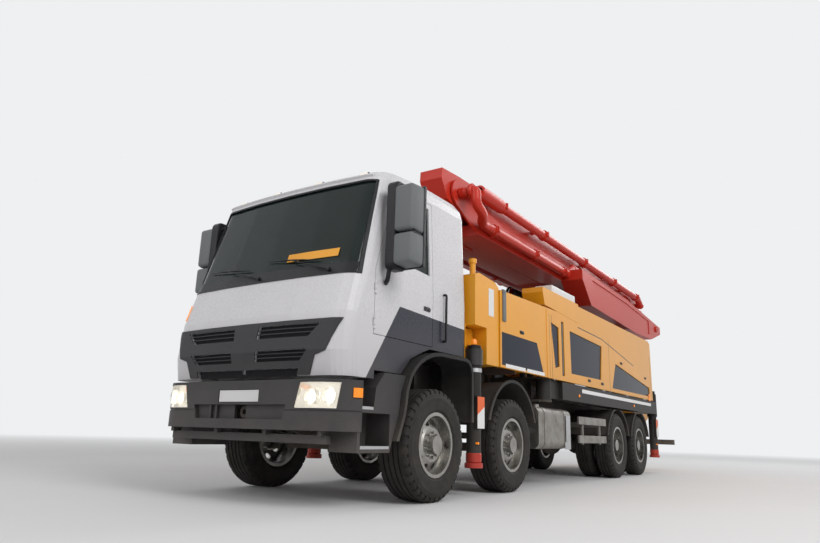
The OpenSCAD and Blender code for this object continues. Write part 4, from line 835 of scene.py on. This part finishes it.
plate_x = 5.937
plate = start_plate(rounded_box(-0.260, 0.260, 0.860, 0.970, 0.010), "x", plate_x, 5.9425, 0.0008)
settle(plate, "number_plate_blank", plate_white)
edge_parts = [start_block((plate_x, -0.264, z), (5.944, 0.264, z + 0.005), 0.001, 1)
              for z in (0.8585, 0.9665)]
edge_parts += [start_block((plate_x, y, 0.8585), (5.944, y + 0.005, 0.9715), 0.001, 1)
               for y in (-0.264, 0.259)]
settle(joined(edge_parts), "number_plate_frame", trim_black)

# %% [markdown]
# The cab's front leans back above the nose and curves towards its corners. One function repeats
# that rule from the drawing, so screens, seals, wipers and marker lamps lie on the cab's skin.

# %% Cab front face
cab_rows = [(1.085, 0.046, 1.150), (1.300, 0.012, 1.150), (1.640, 0.050, 1.150),
            (3.020, 0.470, 1.105), (3.120, 0.590, 1.080), (3.205, 1.100, 1.020),
            (3.262, 1.750, 0.930)]
cab_corner, cab_bow = 0.190, 0.045


def cab_row(z):
    for low, high in zip(cab_rows, cab_rows[1:]):
        if z <= high[0]:
            break
    t = min(1.0, max(0.0, (z - low[0]) / (high[0] - low[0])))
    return low[1] + (high[1] - low[1]) * t, low[2] + (high[2] - low[2]) * t


def cab_face(y, z, out=0.0):
    front, half = cab_row(z)
    middle, shoulder = half * 0.45, half - cab_corner
    y = min(abs(y), half)
    if y < middle:
        back = cab_bow / 4 * y / middle
    elif y < shoulder:
        back = cab_bow / 4 + cab_bow * 0.75 * (y - middle) / (shoulder - middle)
    else:
        turn_in = min(cab_corner, y - shoulder)
        back = cab_bow + cab_corner - math.sqrt(max(0.0, cab_corner ** 2 - turn_in ** 2))
    return nose_x - front - back + out


def on_face(y, z, out):
    return Vector((cab_face(y, z, out), y, z))


def front_place(y_low, y_high, z_low, z_high, out, slant):
    # slant widens the piece upwards, as the grille's slots do
    def place(u, v):
        y = y_low + (y_high + slant * v - y_low) * u
        return on_face(y, z_low + (z_high - z_low) * v, out)
    return place


def front_skin(y_low, y_high, z_low, z_high, out, wall, columns, rows, slant=0.0):
    return start_skin(front_place(y_low, y_high, z_low, z_high, out, slant), columns, rows, wall)


print("cab's face at the screen's foot", round(cab_face(0.0, 1.992), 3))

# %% [markdown]
# Behind each slot of the grille is a pocket. It gets a black back and a screen of thin wire that
# keeps stones away from the radiator. The screen is a grid that a Wireframe modifier thins to its
# lines.

# %% Grille screens
def wire_screen(y_low, y_high, z_low, z_high, out, slant, cell=0.016, wire=0.0022):
    columns = max(4, round((y_high - y_low) / cell))
    rows = max(3, round((z_high - z_low) / cell))
    piece = start_grid(front_place(y_low, y_high, z_low, z_high, out, slant), columns, rows)
    use(piece, "WIREFRAME", thickness=wire, use_even_offset=False)
    return piece


grille_rows = ((0.152, 0.688, 0.088, 1.214, 1.310), (0.152, 0.762, 0.114, 1.422, 1.534),
               (0.002, 0.648, 0.030, 1.082, 1.148))
backs, screens = [], []
for y_low, y_high, slant, z_low, z_high in grille_rows:
    backs.append(front_skin(y_low, y_high, z_low, z_high, -0.029, 0.003, 16, 2, slant))
    screens.append(wire_screen(y_low, y_high, z_low, z_high, -0.014, slant))
settle_pair(backs, "grille_backs", cloth_black, "cab")
settle_pair(screens, "grille_screens", trim_black, "cab")
slats = []
for y_low, y_high, slant, z_low, z_high in grille_rows[:2]:
    for part in (0.35, 0.70):
        z = z_low + (z_high - z_low) * part
        slats.append(front_skin(y_low, y_high + slant * part, z - 0.004, z + 0.004, -0.006, 0.012,
                                16, 1))
settle_pair(slats, "grille_slats", bumper_grey, "cab", "front_plastic")

# %% [markdown]
# The windscreen sits in a black rubber seal. Its foot has a black strip that hides the wipers'
# drives, and two wipers rest along it. A plain yellow strip lies on the glass on the left.

# %% Windscreen seal, cowl and strip
screen_low, screen_high, screen_rise = 1.992, 2.990, 0.998
seal_w, seal_out, seal_wall = 0.020, 0.001, 0.012


def seal_level(half_width, z_edge, width):
    # A level bar, from the screen's edge inwards
    return start_skin(lambda u, v: on_face((2 * u - 1) * half_width, z_edge + width * v, seal_out),
                      40, 1, seal_wall)


def seal_upright(u, v):
    z = screen_low + screen_rise * u
    side = 1.118 - 0.056 * (z - screen_low) / screen_rise
    return on_face(side - 0.001 - seal_w * v, z, seal_out)


seal_parts = [seal_level(1.112, screen_low, seal_w), seal_level(1.056, screen_high, -seal_w)]
seal_parts += both([start_skin(seal_upright, 24, 1, seal_wall)])
settle(joined(seal_parts), "screen_seal", trim_black, "cab")
cowl = front_skin(-1.085, 1.085, 2.012, 2.105, -0.004, 0.006, 40, 3)
settle(cowl, "wiper_cowl", trim_black, "cab")
yellow_strip = front_skin(0.255, 0.867, 2.180, 2.262, -0.0050, 0.002, 10, 2)
settle(yellow_strip, "screen_strip_blank", body_yellow, "cab")

# %% [markdown]
# Each wiper has a round foot, a thick and a thin part of its arm, and a blade held by two small
# yokes. All its points are found on the screen's own curve and then lifted off it, so that the
# blade lies along the glass.

# %% Wipers
def wiper(pivot_y, tip_y, tip_z, blade_half, lean):
    foot = on_face(pivot_y, 2.045, 0.004)
    tip = on_face(tip_y, tip_z, 0.030)
    parts = [start_turned([(0.0, 0.0), (0.020, 0.0), (0.018, 0.024), (0.0, 0.028)], foot, "x", 16),
             start_rod(foot + Vector((0.018, 0, 0)), foot.lerp(tip, 0.35) + Vector((0.022, 0, 0)),
                       0.010, 10),
             start_rod(foot.lerp(tip, 0.33) + Vector((0.022, 0, 0)), tip + Vector((0.006, 0, 0)),
                       0.005, 8)]
    ends = [on_face(tip_y + side * blade_half, tip_z + side * lean, 0.010) for side in (-1, 1)]
    middle = on_face(tip_y, tip_z, 0.016)
    for end in ends:
        parts.append(start_rod(middle, end, 0.0055, 8))
        parts.append(start_rod(middle + Vector((0.008, 0, 0.004)), end.lerp(middle, 0.45)
                               + Vector((0.004, 0, 0.002)), 0.0045, 8))
    return joined(parts)


wipers = joined([wiper(0.820, 0.330, 2.190, 0.330, -0.030),
                 wiper(-0.050, -0.560, 2.185, 0.330, -0.030)])
settle(wipers, "wipers", trim_black, "cab")

# %% [markdown]
# Above the screen a narrow lip shades the glass, and four small lamps mark the roof's edge. They
# are rounded blocks set on black feet. One amber lamp sits low on the cab's right corner.

# %% Roof lip and marker lamps
lip = front_skin(-1.010, 1.010, 3.030, 3.052, 0.016, 0.030, 40, 1)
settle(lip, "roof_lip", cab_white, "cab", "cab_paint")
markers, marker_feet = [], []
for y in (0.300, 0.860):
    z = 3.085
    x = cab_face(y, z)
    markers.append(start_block((x - 0.030, y - 0.050, z - 0.014), (x + 0.022, y + 0.050, z + 0.018),
                               0.008, 3))
    marker_feet.append(start_block((x - 0.034, y - 0.056, z - 0.018),
                                   (x + 0.010, y + 0.056, z + 0.022), 0.004, 2))
settle_pair(markers, "roof_marker_lenses", soft_glow, "cab", "lamp_plastic")
settle_pair(marker_feet, "roof_marker_feet", trim_black, "cab")
corner_left = front_skin(1.040, 1.104, 1.700, 1.860, 0.006, 0.012, 8, 4)
corner_lamp = copied(corner_left, flip=True)
bpy.data.objects.remove(corner_left)
settle(corner_lamp, "cab_corner_lamp_right", amber_glow, "cab", "lamp_plastic")

# %% [markdown]
# Each door carries two mirrors on one bracket: a tall one and a square wide-angle one below it.
# Rounded grey covers enclose the drawing's plain blocks, and a black frame stands between them
# and the door. The mirror glass faces rearwards.

# %% Mirrors
def soft_cover(low, high, soft, taper):
    piece = start_block(low, high, 0.0)
    middle_y, middle_z = (low[1] + high[1]) / 2, (low[2] + high[2]) / 2
    for point in piece.data.vertices:
        if point.co.x > (low[0] + high[0]) / 2:
            point.co.y = middle_y + (point.co.y - middle_y) * taper
            point.co.z = middle_z + (point.co.z - middle_z) * taper
    use(piece, "BEVEL", width=soft, segments=4)
    bpy.ops.object.shade_smooth_by_angle(angle=math.radians(50))
    return piece


covers = joined([soft_cover((5.222, 1.285, 2.408), (5.442, 1.503, 2.874), 0.034, 0.94),
                 soft_cover((5.222, 1.285, 2.100), (5.442, 1.503, 2.404), 0.034, 0.94)])
mirror_frame = joined([
    start_plate(rounded_box(5.236, 5.434, 2.066, 2.925, 0.060), "y", 1.200, 1.312, 0.016),
    start_plate(rounded_box(5.215, 5.255, 2.092, 2.884, 0.018), "y", 1.244, 1.506, 0.006),
    start_pipe([(5.290, 1.130, 2.830), (5.350, 1.190, 2.870), (5.385, 1.225, 2.830)], 0.020, 0.05),
    start_pipe([(5.385, 1.225, 2.090), (5.385, 1.215, 1.985), (5.330, 1.150, 1.965)], 0.022, 0.06)])
glasses = joined([start_plate(rounded_box(1.262, 1.488, low, high, 0.022), "x", 5.208, 5.2145, 0.001)
                  for low, high in ((2.424, 2.856), (2.118, 2.392))])
for piece, name, finish, slot_name in (
        (covers, "mirror_covers", housing_grey, "front_plastic"),
        (mirror_frame, "mirror_frame", trim_black, "trim_plastic"),
        (glasses, "mirror_glass", reflector, "trim_plastic")):
    settle_sides(piece, name, finish, "door_{side}", slot_name)

# %% [markdown]
# Reflecting strips, blank signs, handles and marker lamps give the long yellow side its scale.
# All of them are thin plates that stand a few millimetres off the panel they are fixed to.

# %% Body side
panel_y = 1.245


def side_row(x):
    return nose_x - x / 1000


def side_outline(points):
    # Points written as distance back and height in millimetres, as the drawing has them
    return [(side_row(d), z / 1000) for d, z in points]


strip_low, strip_high, strip_thick = 1.418, 1.462, 0.003
strips = [start_plate(corners(x0, x1, strip_low, strip_high), "y", panel_y, panel_y + strip_thick)
          for x0, x1 in ((3.020, 2.460), (2.410, 1.850))]
settle_pair(strips, "front_white_strips", strip_white)
slant_line = start_plate(side_outline([(5450, 2268), (6590, 2238), (8450, 1978), (8450, 1994),
                                       (6590, 2254), (5450, 2284)]), "y", 1.237, 1.2455)
post_back = start_plate(side_outline(corners(4762, 4858, 1482, 2258)), "y", 1.226, 1.231)
settle_pair([slant_line, post_back], "panel_dark_lines", trim_black)
post_bar = start_block((side_row(4826), 1.229, 1.500), (side_row(4796), 1.243, 2.240), 0.005)
settle_pair([post_bar], "panel_post_bars", housing_grey)
tank_box = start_block((3.020, 1.232, 1.960), (3.105, 1.262, 2.350), 0.008, 3)
tank_screws = [start_turned(domed(0.009, 0.005), (3.062, 1.261, z), "y", 12)
               for z in (2.000, 2.310)]
settle_pair([tank_box] + tank_screws, "tank_gauge_boxes", housing_grey)
blank_sign = start_plate(rounded_box(3.300, 3.430, 1.975, 2.300, 0.012), "y", 1.230, 1.233, 0.0006)
settle_pair([blank_sign], "side_signs_blank", plate_white)
tank_plate = start_plate(rounded_box(0.815, 1.030, 0.470, 0.940, 0.010), "y", 1.189, 1.196, 0.002)
settle(tank_plate, "tank_end_plate", bar_alloy, "chassis", "tank_metal")
shelf_cover = start_block((0.505, 0.955, 2.641), (1.435, 1.221, 2.756), 0.012, 3)
settle_pair([shelf_cover], "shelf_box_covers", plate_white)

# %% [markdown]
# Lids and doors in the side show as thin dark seams with sunk handles. A seam is a plate a few
# tenths of a millimetre proud, which is cheaper than a groove and reads the same from a step away.

# %% Seams and handles of the side lids
seams = [start_plate(corners(x - 0.003, x + 0.003, 1.415, 2.290), "y", panel_y - 0.0005,
                     panel_y + 0.0008) for x in (1.640, 1.560, -1.000, -3.700)]
settle_pair(seams, "panel_seams", trim_black)
handles = []
for x, z in ((0.060, 1.500), (-0.580, 1.500), (-1.700, 1.950), (-3.300, 1.820), (2.550, 1.900)):
    handles.append(start_plate(rounded_box(x - 0.060, x + 0.060, z - 0.022, z + 0.022, 0.012), "y",
                               panel_y, panel_y + 0.006, 0.002))
    handles.append(start_rod((x - 0.035, panel_y + 0.012, z), (x + 0.035, panel_y + 0.012, z),
                             0.007, 10))
settle_pair(handles, "lid_handles", trim_black)

# %% [markdown]
# The front leg stands in a recess under the water tank. In front of it a narrow yellow edge comes
# down from the tank. It is a thin plate with a foot on the tank's face, and leaves the sliding
# leg 6 mm of room.

# %% Front edge of the recess
edge_plate = start_block((3.7615, 1.000, 1.440), (3.7685, 1.112, 1.830), 0.002)
edge_foot = start_block((3.7500, 1.000, 1.805), (3.7650, 1.112, 1.830), 0.001)
settle_pair([edge_plate, edge_foot], "recess_front_edges", body_yellow, "chassis", "body_paint")

# %% [markdown]
# The legs are black. Each carries an orange and white board, a pale ring round its tube, an
# amber beacon on a bolted cap, and a red foot. The parts are made at the left leg and mirrored
# for the right one. The swing beams behind are dark with one long white strip.

# %% Legs
front_leg_y, rear_leg_y = 1.150, 1.132
foot_low, board_out = 0.290, 0.088
for end, x, y, top in (("front", front_leg_x, front_leg_y, 1.600),
                       ("rear", rear_leg_x, rear_leg_y, 1.620)):
    face = y + board_out
    board = start_plate(rounded_box(x - 0.079, x + 0.079, 0.702, 1.038, 0.006), "y", face,
                        face + strip_thick)
    ring = start_turned([(0.0815, 0.0), (0.088, 0.004), (0.088, 0.046), (0.0815, 0.050)],
                        (x, y, 1.300), "z", 32)
    bolt_ring = [start_turned(domed(0.008, 0.006), (x + dx, y + dy, top), "z", 10)
                 for dx, dy in ring_of(4, 0.060, math.pi / 4)]
    beacon = start_turned([(0.0, 0.0), (0.034, 0.0), (0.034, 0.040), (0.028, 0.058),
                           (0.014, 0.068), (0.0, 0.070)], (x, y, top + 0.012), "z", 24)
    beacon_foot = start_turned([(0.0, 0.0), (0.045, 0.0), (0.045, 0.008), (0.038, 0.013),
                                (0.0, 0.013)], (x, y, top), "z", 24)
    foot = start_turned([(0.0745, 0.0605), (0.0985, 0.048), (0.0985, 0.004), (0.094, 0.0),
                         (0.0965, 0.004), (0.0965, 0.0455), (0.0735, 0.0585)],
                        (x, y, foot_low), "z", 32)
    shoe = start_turned([(0.0805, 0.061), (0.085, 0.066), (0.085, 0.150), (0.0805, 0.156)],
                        (x, y, foot_low), "z", 32)
    small = start_block((x + 0.030, face - 0.034, 0.535), (x + 0.062, face - 0.002, 0.560), 0.006, 3)
    for piece, name, finish, slot_name in (
            (board, "leg_board", board_bands, "leg_metal"), (ring, "leg_ring", bar_alloy, "leg_metal"),
            (joined([beacon_foot] + bolt_ring), "leg_cap_bolts", trim_black, "leg_metal"),
            (beacon, "leg_beacon", amber_glow, "lamp_plastic"),
            (joined([foot, shoe]), "leg_foot_paint", boom_red, "leg_metal"),
            (small, "leg_marker", amber_glow, "lamp_plastic")):
        settle_sides(piece, f"{name}_{end}", finish, end + "_leg_{side}", slot_name)
beam_face = 1.235
strip = start_plate(corners(0.380, -3.660, 1.292, 1.347), "y", beam_face,
                    beam_face + strip_thick)
marks = [start_turned([(0.0, 0.0), (0.022, 0.0), (0.022, 0.006), (0.016, 0.012), (0.0, 0.013)],
                      (x, beam_face, 1.240), "y", 18) for x in (0.510, -2.420)]
settle_sides(strip, "beam_white_strip", strip_white, "rear_beam_{side}", "body_paint")
settle_sides(joined(marks), "beam_markers", amber_glow, "rear_beam_{side}", "lamp_plastic")

# %% [markdown]
# Concrete pipes are made of lengths that quick-release clamps hold together. Each clamp is a
# thick ring with a lever on its side. It is turned in place round its pipe.

# %% Pipe clamps
pipe_r = 0.068


def pipe_clamp(x, y, z):
    ring = start_turned([(pipe_r + 0.001, -0.030), (pipe_r + 0.012, -0.030), (pipe_r + 0.022, -0.014),
                         (pipe_r + 0.022, 0.014), (pipe_r + 0.012, 0.030), (pipe_r + 0.001, 0.030)],
                        (x, y, z), "x", 32)
    side = y + pipe_r
    lever = start_block((x - 0.016, side + 0.010, z - 0.030), (x + 0.016, side + 0.034, z + 0.050),
                        0.005)
    knuckle = start_rod((x - 0.022, side + 0.020, z - 0.030), (x + 0.022, side + 0.020, z - 0.030),
                        0.011, 12)
    return joined([ring, lever, knuckle])


upper_y, outer_y = 0.724, -1.076
clamp_places = {
    "arm_2": [(x, upper_y, 3.402) for x in (2.300, 0.900, -0.300)]
             + [(-2.900, upper_y, 3.535)],
    "arm_3": [(x, upper_y, 3.830) for x in (2.030, 0.500, -1.400, -3.200, -4.900)],
    "arm_4": [(x, -0.560, 3.478) for x in (1.900, -0.300, -2.500, -4.600)],
    "arm_5": [(x, outer_y, 3.700) for x in (2.200, 0.300, -1.600, -3.400)],
    "arm_1": [(-0.300, -0.292, 3.444)],
}
for arm, places in clamp_places.items():
    settle(joined([pipe_clamp(*place) for place in places]), f"pipe_clamps_{arm}", boom_red, arm,
           "boom_paint")

# %% [markdown]
# The pipe on the second arm has to cross the front pin to reach the third arm. It swings out,
# rises to the pin's own axis and turns in through a fat swivel, which stays put on the second arm
# while the third turns. Behind the pin the third arm's pipe wears a thick sleeve.

# %% Elbow at the front pin
pin_c = (3.100, 3.700)
swivel_y = 0.880
elbow = start_pipe([(2.450, upper_y, 3.402), (2.640, upper_y, 3.402), (2.900, swivel_y, 3.440),
                    (pin_c[0], swivel_y, 3.520), (pin_c[0], swivel_y, pin_c[1]),
                    (pin_c[0], upper_y + 0.078, pin_c[1])], 0.066, 0.110, 5)
swivel = start_turned([(0.0, 0.0), (0.092, 0.0), (0.098, 0.006), (0.098, 0.040), (0.088, 0.050),
                       (0.0, 0.050)], (pin_c[0], upper_y + 0.079, pin_c[1]), "y", 32)
settle(joined([elbow, swivel]), "front_pin_elbow", boom_red, "arm_2", "boom_paint")
sleeve = start_turned([(0.0690, 0.0), (0.088, 0.0), (0.098, 0.012), (0.098, 0.648), (0.088, 0.660),
                       (0.0690, 0.660)], (2.080, upper_y, 3.830), "x", 32)
settle(sleeve, "front_pipe_sleeve", boom_red, "arm_3", "boom_paint")
rod_y, rod_z = 0.560, 3.507
chrome = start_turned(corners(0.0302, 0.0312, 0.0, 1.560), (-0.320, rod_y, rod_z), "x", 32)
settle(chrome, "fold_rod_chrome", rod_chrome, "arm_2", "rod_chrome")

# %% [markdown]
# Each pin of the boom ends in a round cap with bolt heads, and the slewing ring is held down by a
# circle of bolts. One cap is turned for each place, and its bolts are set out by angle.

# %% Pin caps on the boom
def pin_cap(x, y, z, r, out, count=6):
    cap = start_turned([(0.0, 0.0), (r, 0.0), (r, out * 0.008), (r * 0.9, out * 0.014),
                        (0.0, out * 0.014)], (x, y, z), "y", 32)
    heads = [start_turned([(0.0, out * 0.012), (0.012, out * 0.012), (0.012, out * 0.022),
                           (0.008, out * 0.024), (0.0, out * 0.024)],
                          (x + dx, y, z + dz), "y", 6) for dx, dz in ring_of(count, r * 0.68)]
    return joined([cap] + heads)


caps = {"turret": [(2.800, 0.215, 3.300, 0.058, 1), (2.800, -0.215, 3.300, 0.058, -1),
                   (2.310, 0.215, 2.550, 0.040, 1), (2.310, -0.215, 2.550, 0.040, -1)],
        "arm_1": [(-5.500, 1.014, 3.150, 0.070, 1)],
        "arm_3": [(-5.350, -0.706, 3.700, 0.070, -1)],
        "arm_4": [(2.530, -0.993, 3.700, 0.050, -1)]}
for body, places in caps.items():
    settle(joined([pin_cap(*place) for place in places]), f"pin_caps_{body}", boom_red, body,
           "boom_paint")
slew_x, bolt_low, bolt_high, bolt_circle = 2.850, 2.4485, 2.464, 0.445
ring_bolts = [start_rod((slew_x + dx, dy, bolt_low), (slew_x + dx, dy, bolt_high), 0.014, 6, 0.0)
              for dx, dy in ring_of(30, bolt_circle)]
settle(joined(ring_bolts), "slew_ring_bolts", bar_alloy, "turret", "dark_metal")

# %% [markdown]
# Steps are worn bright where boots tread. Each tread is a grating on the box's floor: two long
# bars and a row of short ones between them.

# %% Step treads
tread_z = {"low": 0.492, "high": 0.815}
treads = []
for name, x0, x1 in (("low", 5.262, 5.664), ("high", 5.502, 5.664)):
    z = tread_z[name]
    for y in (0.960, 1.196):
        treads.append(start_block((x0, y, z + 0.0005), (x1, y + 0.006, z + 0.026), 0.001, 1))
    count = int((x1 - x0) / 0.026)
    for k in range(count + 1):
        x = x0 + k * (x1 - x0 - 0.006) / count
        treads.append(start_block((x, 0.960, z + 0.003), (x + 0.006, 1.200, z + 0.024), 0.0))
settle_pair(treads, "step_treads", bar_alloy, "chassis", "tank_metal")

# %% [markdown]
# Each door has a flat handle, and behind it a grab rail stands on the cab's side. The rail is a
# bent pipe whose ends go into the cab's wall.

# %% Door handles and grab rails
handle = start_plate(rounded_box(4.562, 4.678, 1.828, 1.862, 0.014), "y", 1.150, 1.161, 0.004)
rail = start_pipe([(4.300, 1.152, 1.560), (4.300, 1.185, 1.560), (4.300, 1.185, 2.050),
                   (4.300, 1.152, 2.050)], 0.013, 0.03)
settle_sides(handle, "door_handle", trim_black, "door_{side}")
settle_sides(rail, "cab_grab_rail", trim_black, "cab")

# %% [markdown]
# The end hose hangs clipped under the fifth arm. A thin rubber cover and a thicker boot enclose
# its solid. Three small lamps sit on each side of the body near the tail.

# %% End hose and rear side lamps
hose_at = (-0.852, 3.470)
hose_boot = start_turned([(0.0795, 0.0), (0.090, 0.006), (0.090, 0.090), (0.0795, 0.098)],
                         (-1.640, *hose_at), "x", 32)
hose_cover = start_turned(corners(0.0785, 0.0815, 0.0, -3.380), (-1.650, *hose_at), "x", 32)
settle(joined([hose_boot, hose_cover]), "end_hose_rubber", hose_rubber, "arm_5")
cluster = [start_block((-3.560, 1.246, z - 0.016), (-3.470, 1.262, z + 0.016), 0.006, 3)
           for z in (1.405, 1.455, 1.505)]
settle_pair(cluster, "rear_side_lamps", amber_glow, "chassis", "lamp_plastic")

# %% [markdown]
# The studio's floor is a plain pale plane. It keeps the truck's shadow near by, and fades to the
# sky's own colour further out, which only the camera sees, so that no horizon line shows.

# %% Floor
PALE_SKY = shade(0.86, 0.87, 0.88)
floor_size, floor_z = 400, -0.001
fade_from, fade_over = 9.0, 22.0
clear_selection()
bpy.ops.mesh.primitive_plane_add(size=floor_size, location=(0, 0, floor_z))
floor = bpy.context.object
floor.name = "floor"
ground = Finish("pale_floor")
haze = ground.noise(0.6, 2.0, 0.5)
floor.data.materials.append(ground.surface(
    ground.mix(haze, shade(0.78, 0.78, 0.78), shade(0.82, 0.82, 0.82)), 0.80))
away = (ground.x * ground.x + ground.y * ground.y).root()
from_camera = ground.node("ShaderNodeLightPath")
far_mask = ((away - fade_from) / fade_over).clipped() * from_camera
pale = ground.node("ShaderNodeEmission", {}, {"Color": PALE_SKY, "Strength": 1.0})
blended = ground.node("ShaderNodeMixShader", {}, {0: far_mask, 2: pale})
ground.tree.links.new(ground.shader.outputs[0], blended.socket.node.inputs[1])
ground.tree.links.new(blended.socket, ground.tree.nodes["Material Output"].inputs[0])
print("floor laid")

# %% [markdown]
# Three large area lamps give soft shadows. The world has two strengths: a weak white that lights
# the truck, and the pale sky that the camera, gloss and glass see. A light path tells the rays
# apart, and the view transform stays Standard, so that a paint shows as it was written.

# %% Lamps and sky
def soft_lamp(name, place, aim, size, power):
    data = bpy.data.lights.new(name, "AREA")
    data.size = size
    data.energy = power
    lamp = bpy.data.objects.new(name, data)
    lamp.location = place
    lamp.rotation_euler = (Vector(aim) - Vector(place)).to_track_quat("-Z", "Y").to_euler()
    bpy.context.scene.collection.objects.link(lamp)


soft_lamp("key", (7, 13, 10), (0, 0, 1.5), 8, 1150)
soft_lamp("fill", (16, -3, 7), (3, 0, 1.5), 9, 480)
soft_lamp("back", (-14, 3, 11), (0, 0, 2), 8, 700)
world = bpy.data.worlds.new("studio") if not bpy.data.worlds else bpy.data.worlds[0]
bpy.context.scene.world = world
world.use_nodes = True
sky = world.node_tree
sky.nodes.clear()
seen = sky.nodes.new("ShaderNodeLightPath")
lit, shown = sky.nodes.new("ShaderNodeBackground"), sky.nodes.new("ShaderNodeBackground")
lit.inputs[0].default_value, lit.inputs[1].default_value = (1, 1, 1, 1), 0.34
shown.inputs[0].default_value, shown.inputs[1].default_value = PALE_SKY, 1.0
first, second = sky.nodes.new("ShaderNodeMath"), sky.nodes.new("ShaderNodeMath")
first.operation = second.operation = "MAXIMUM"
blend = sky.nodes.new("ShaderNodeMixShader")
sky_out = sky.nodes.new("ShaderNodeOutputWorld")
for a, b in ((seen.outputs["Is Camera Ray"], first.inputs[0]),
             (seen.outputs["Is Glossy Ray"], first.inputs[1]),
             (first.outputs[0], second.inputs[0]),
             (seen.outputs["Is Transmission Ray"], second.inputs[1]),
             (second.outputs[0], blend.inputs[0]), (lit.outputs[0], blend.inputs[1]),
             (shown.outputs[0], blend.inputs[2]), (blend.outputs[0], sky_out.inputs[0])):
    sky.links.new(a, b)
bpy.context.scene.view_settings.view_transform = "Standard"
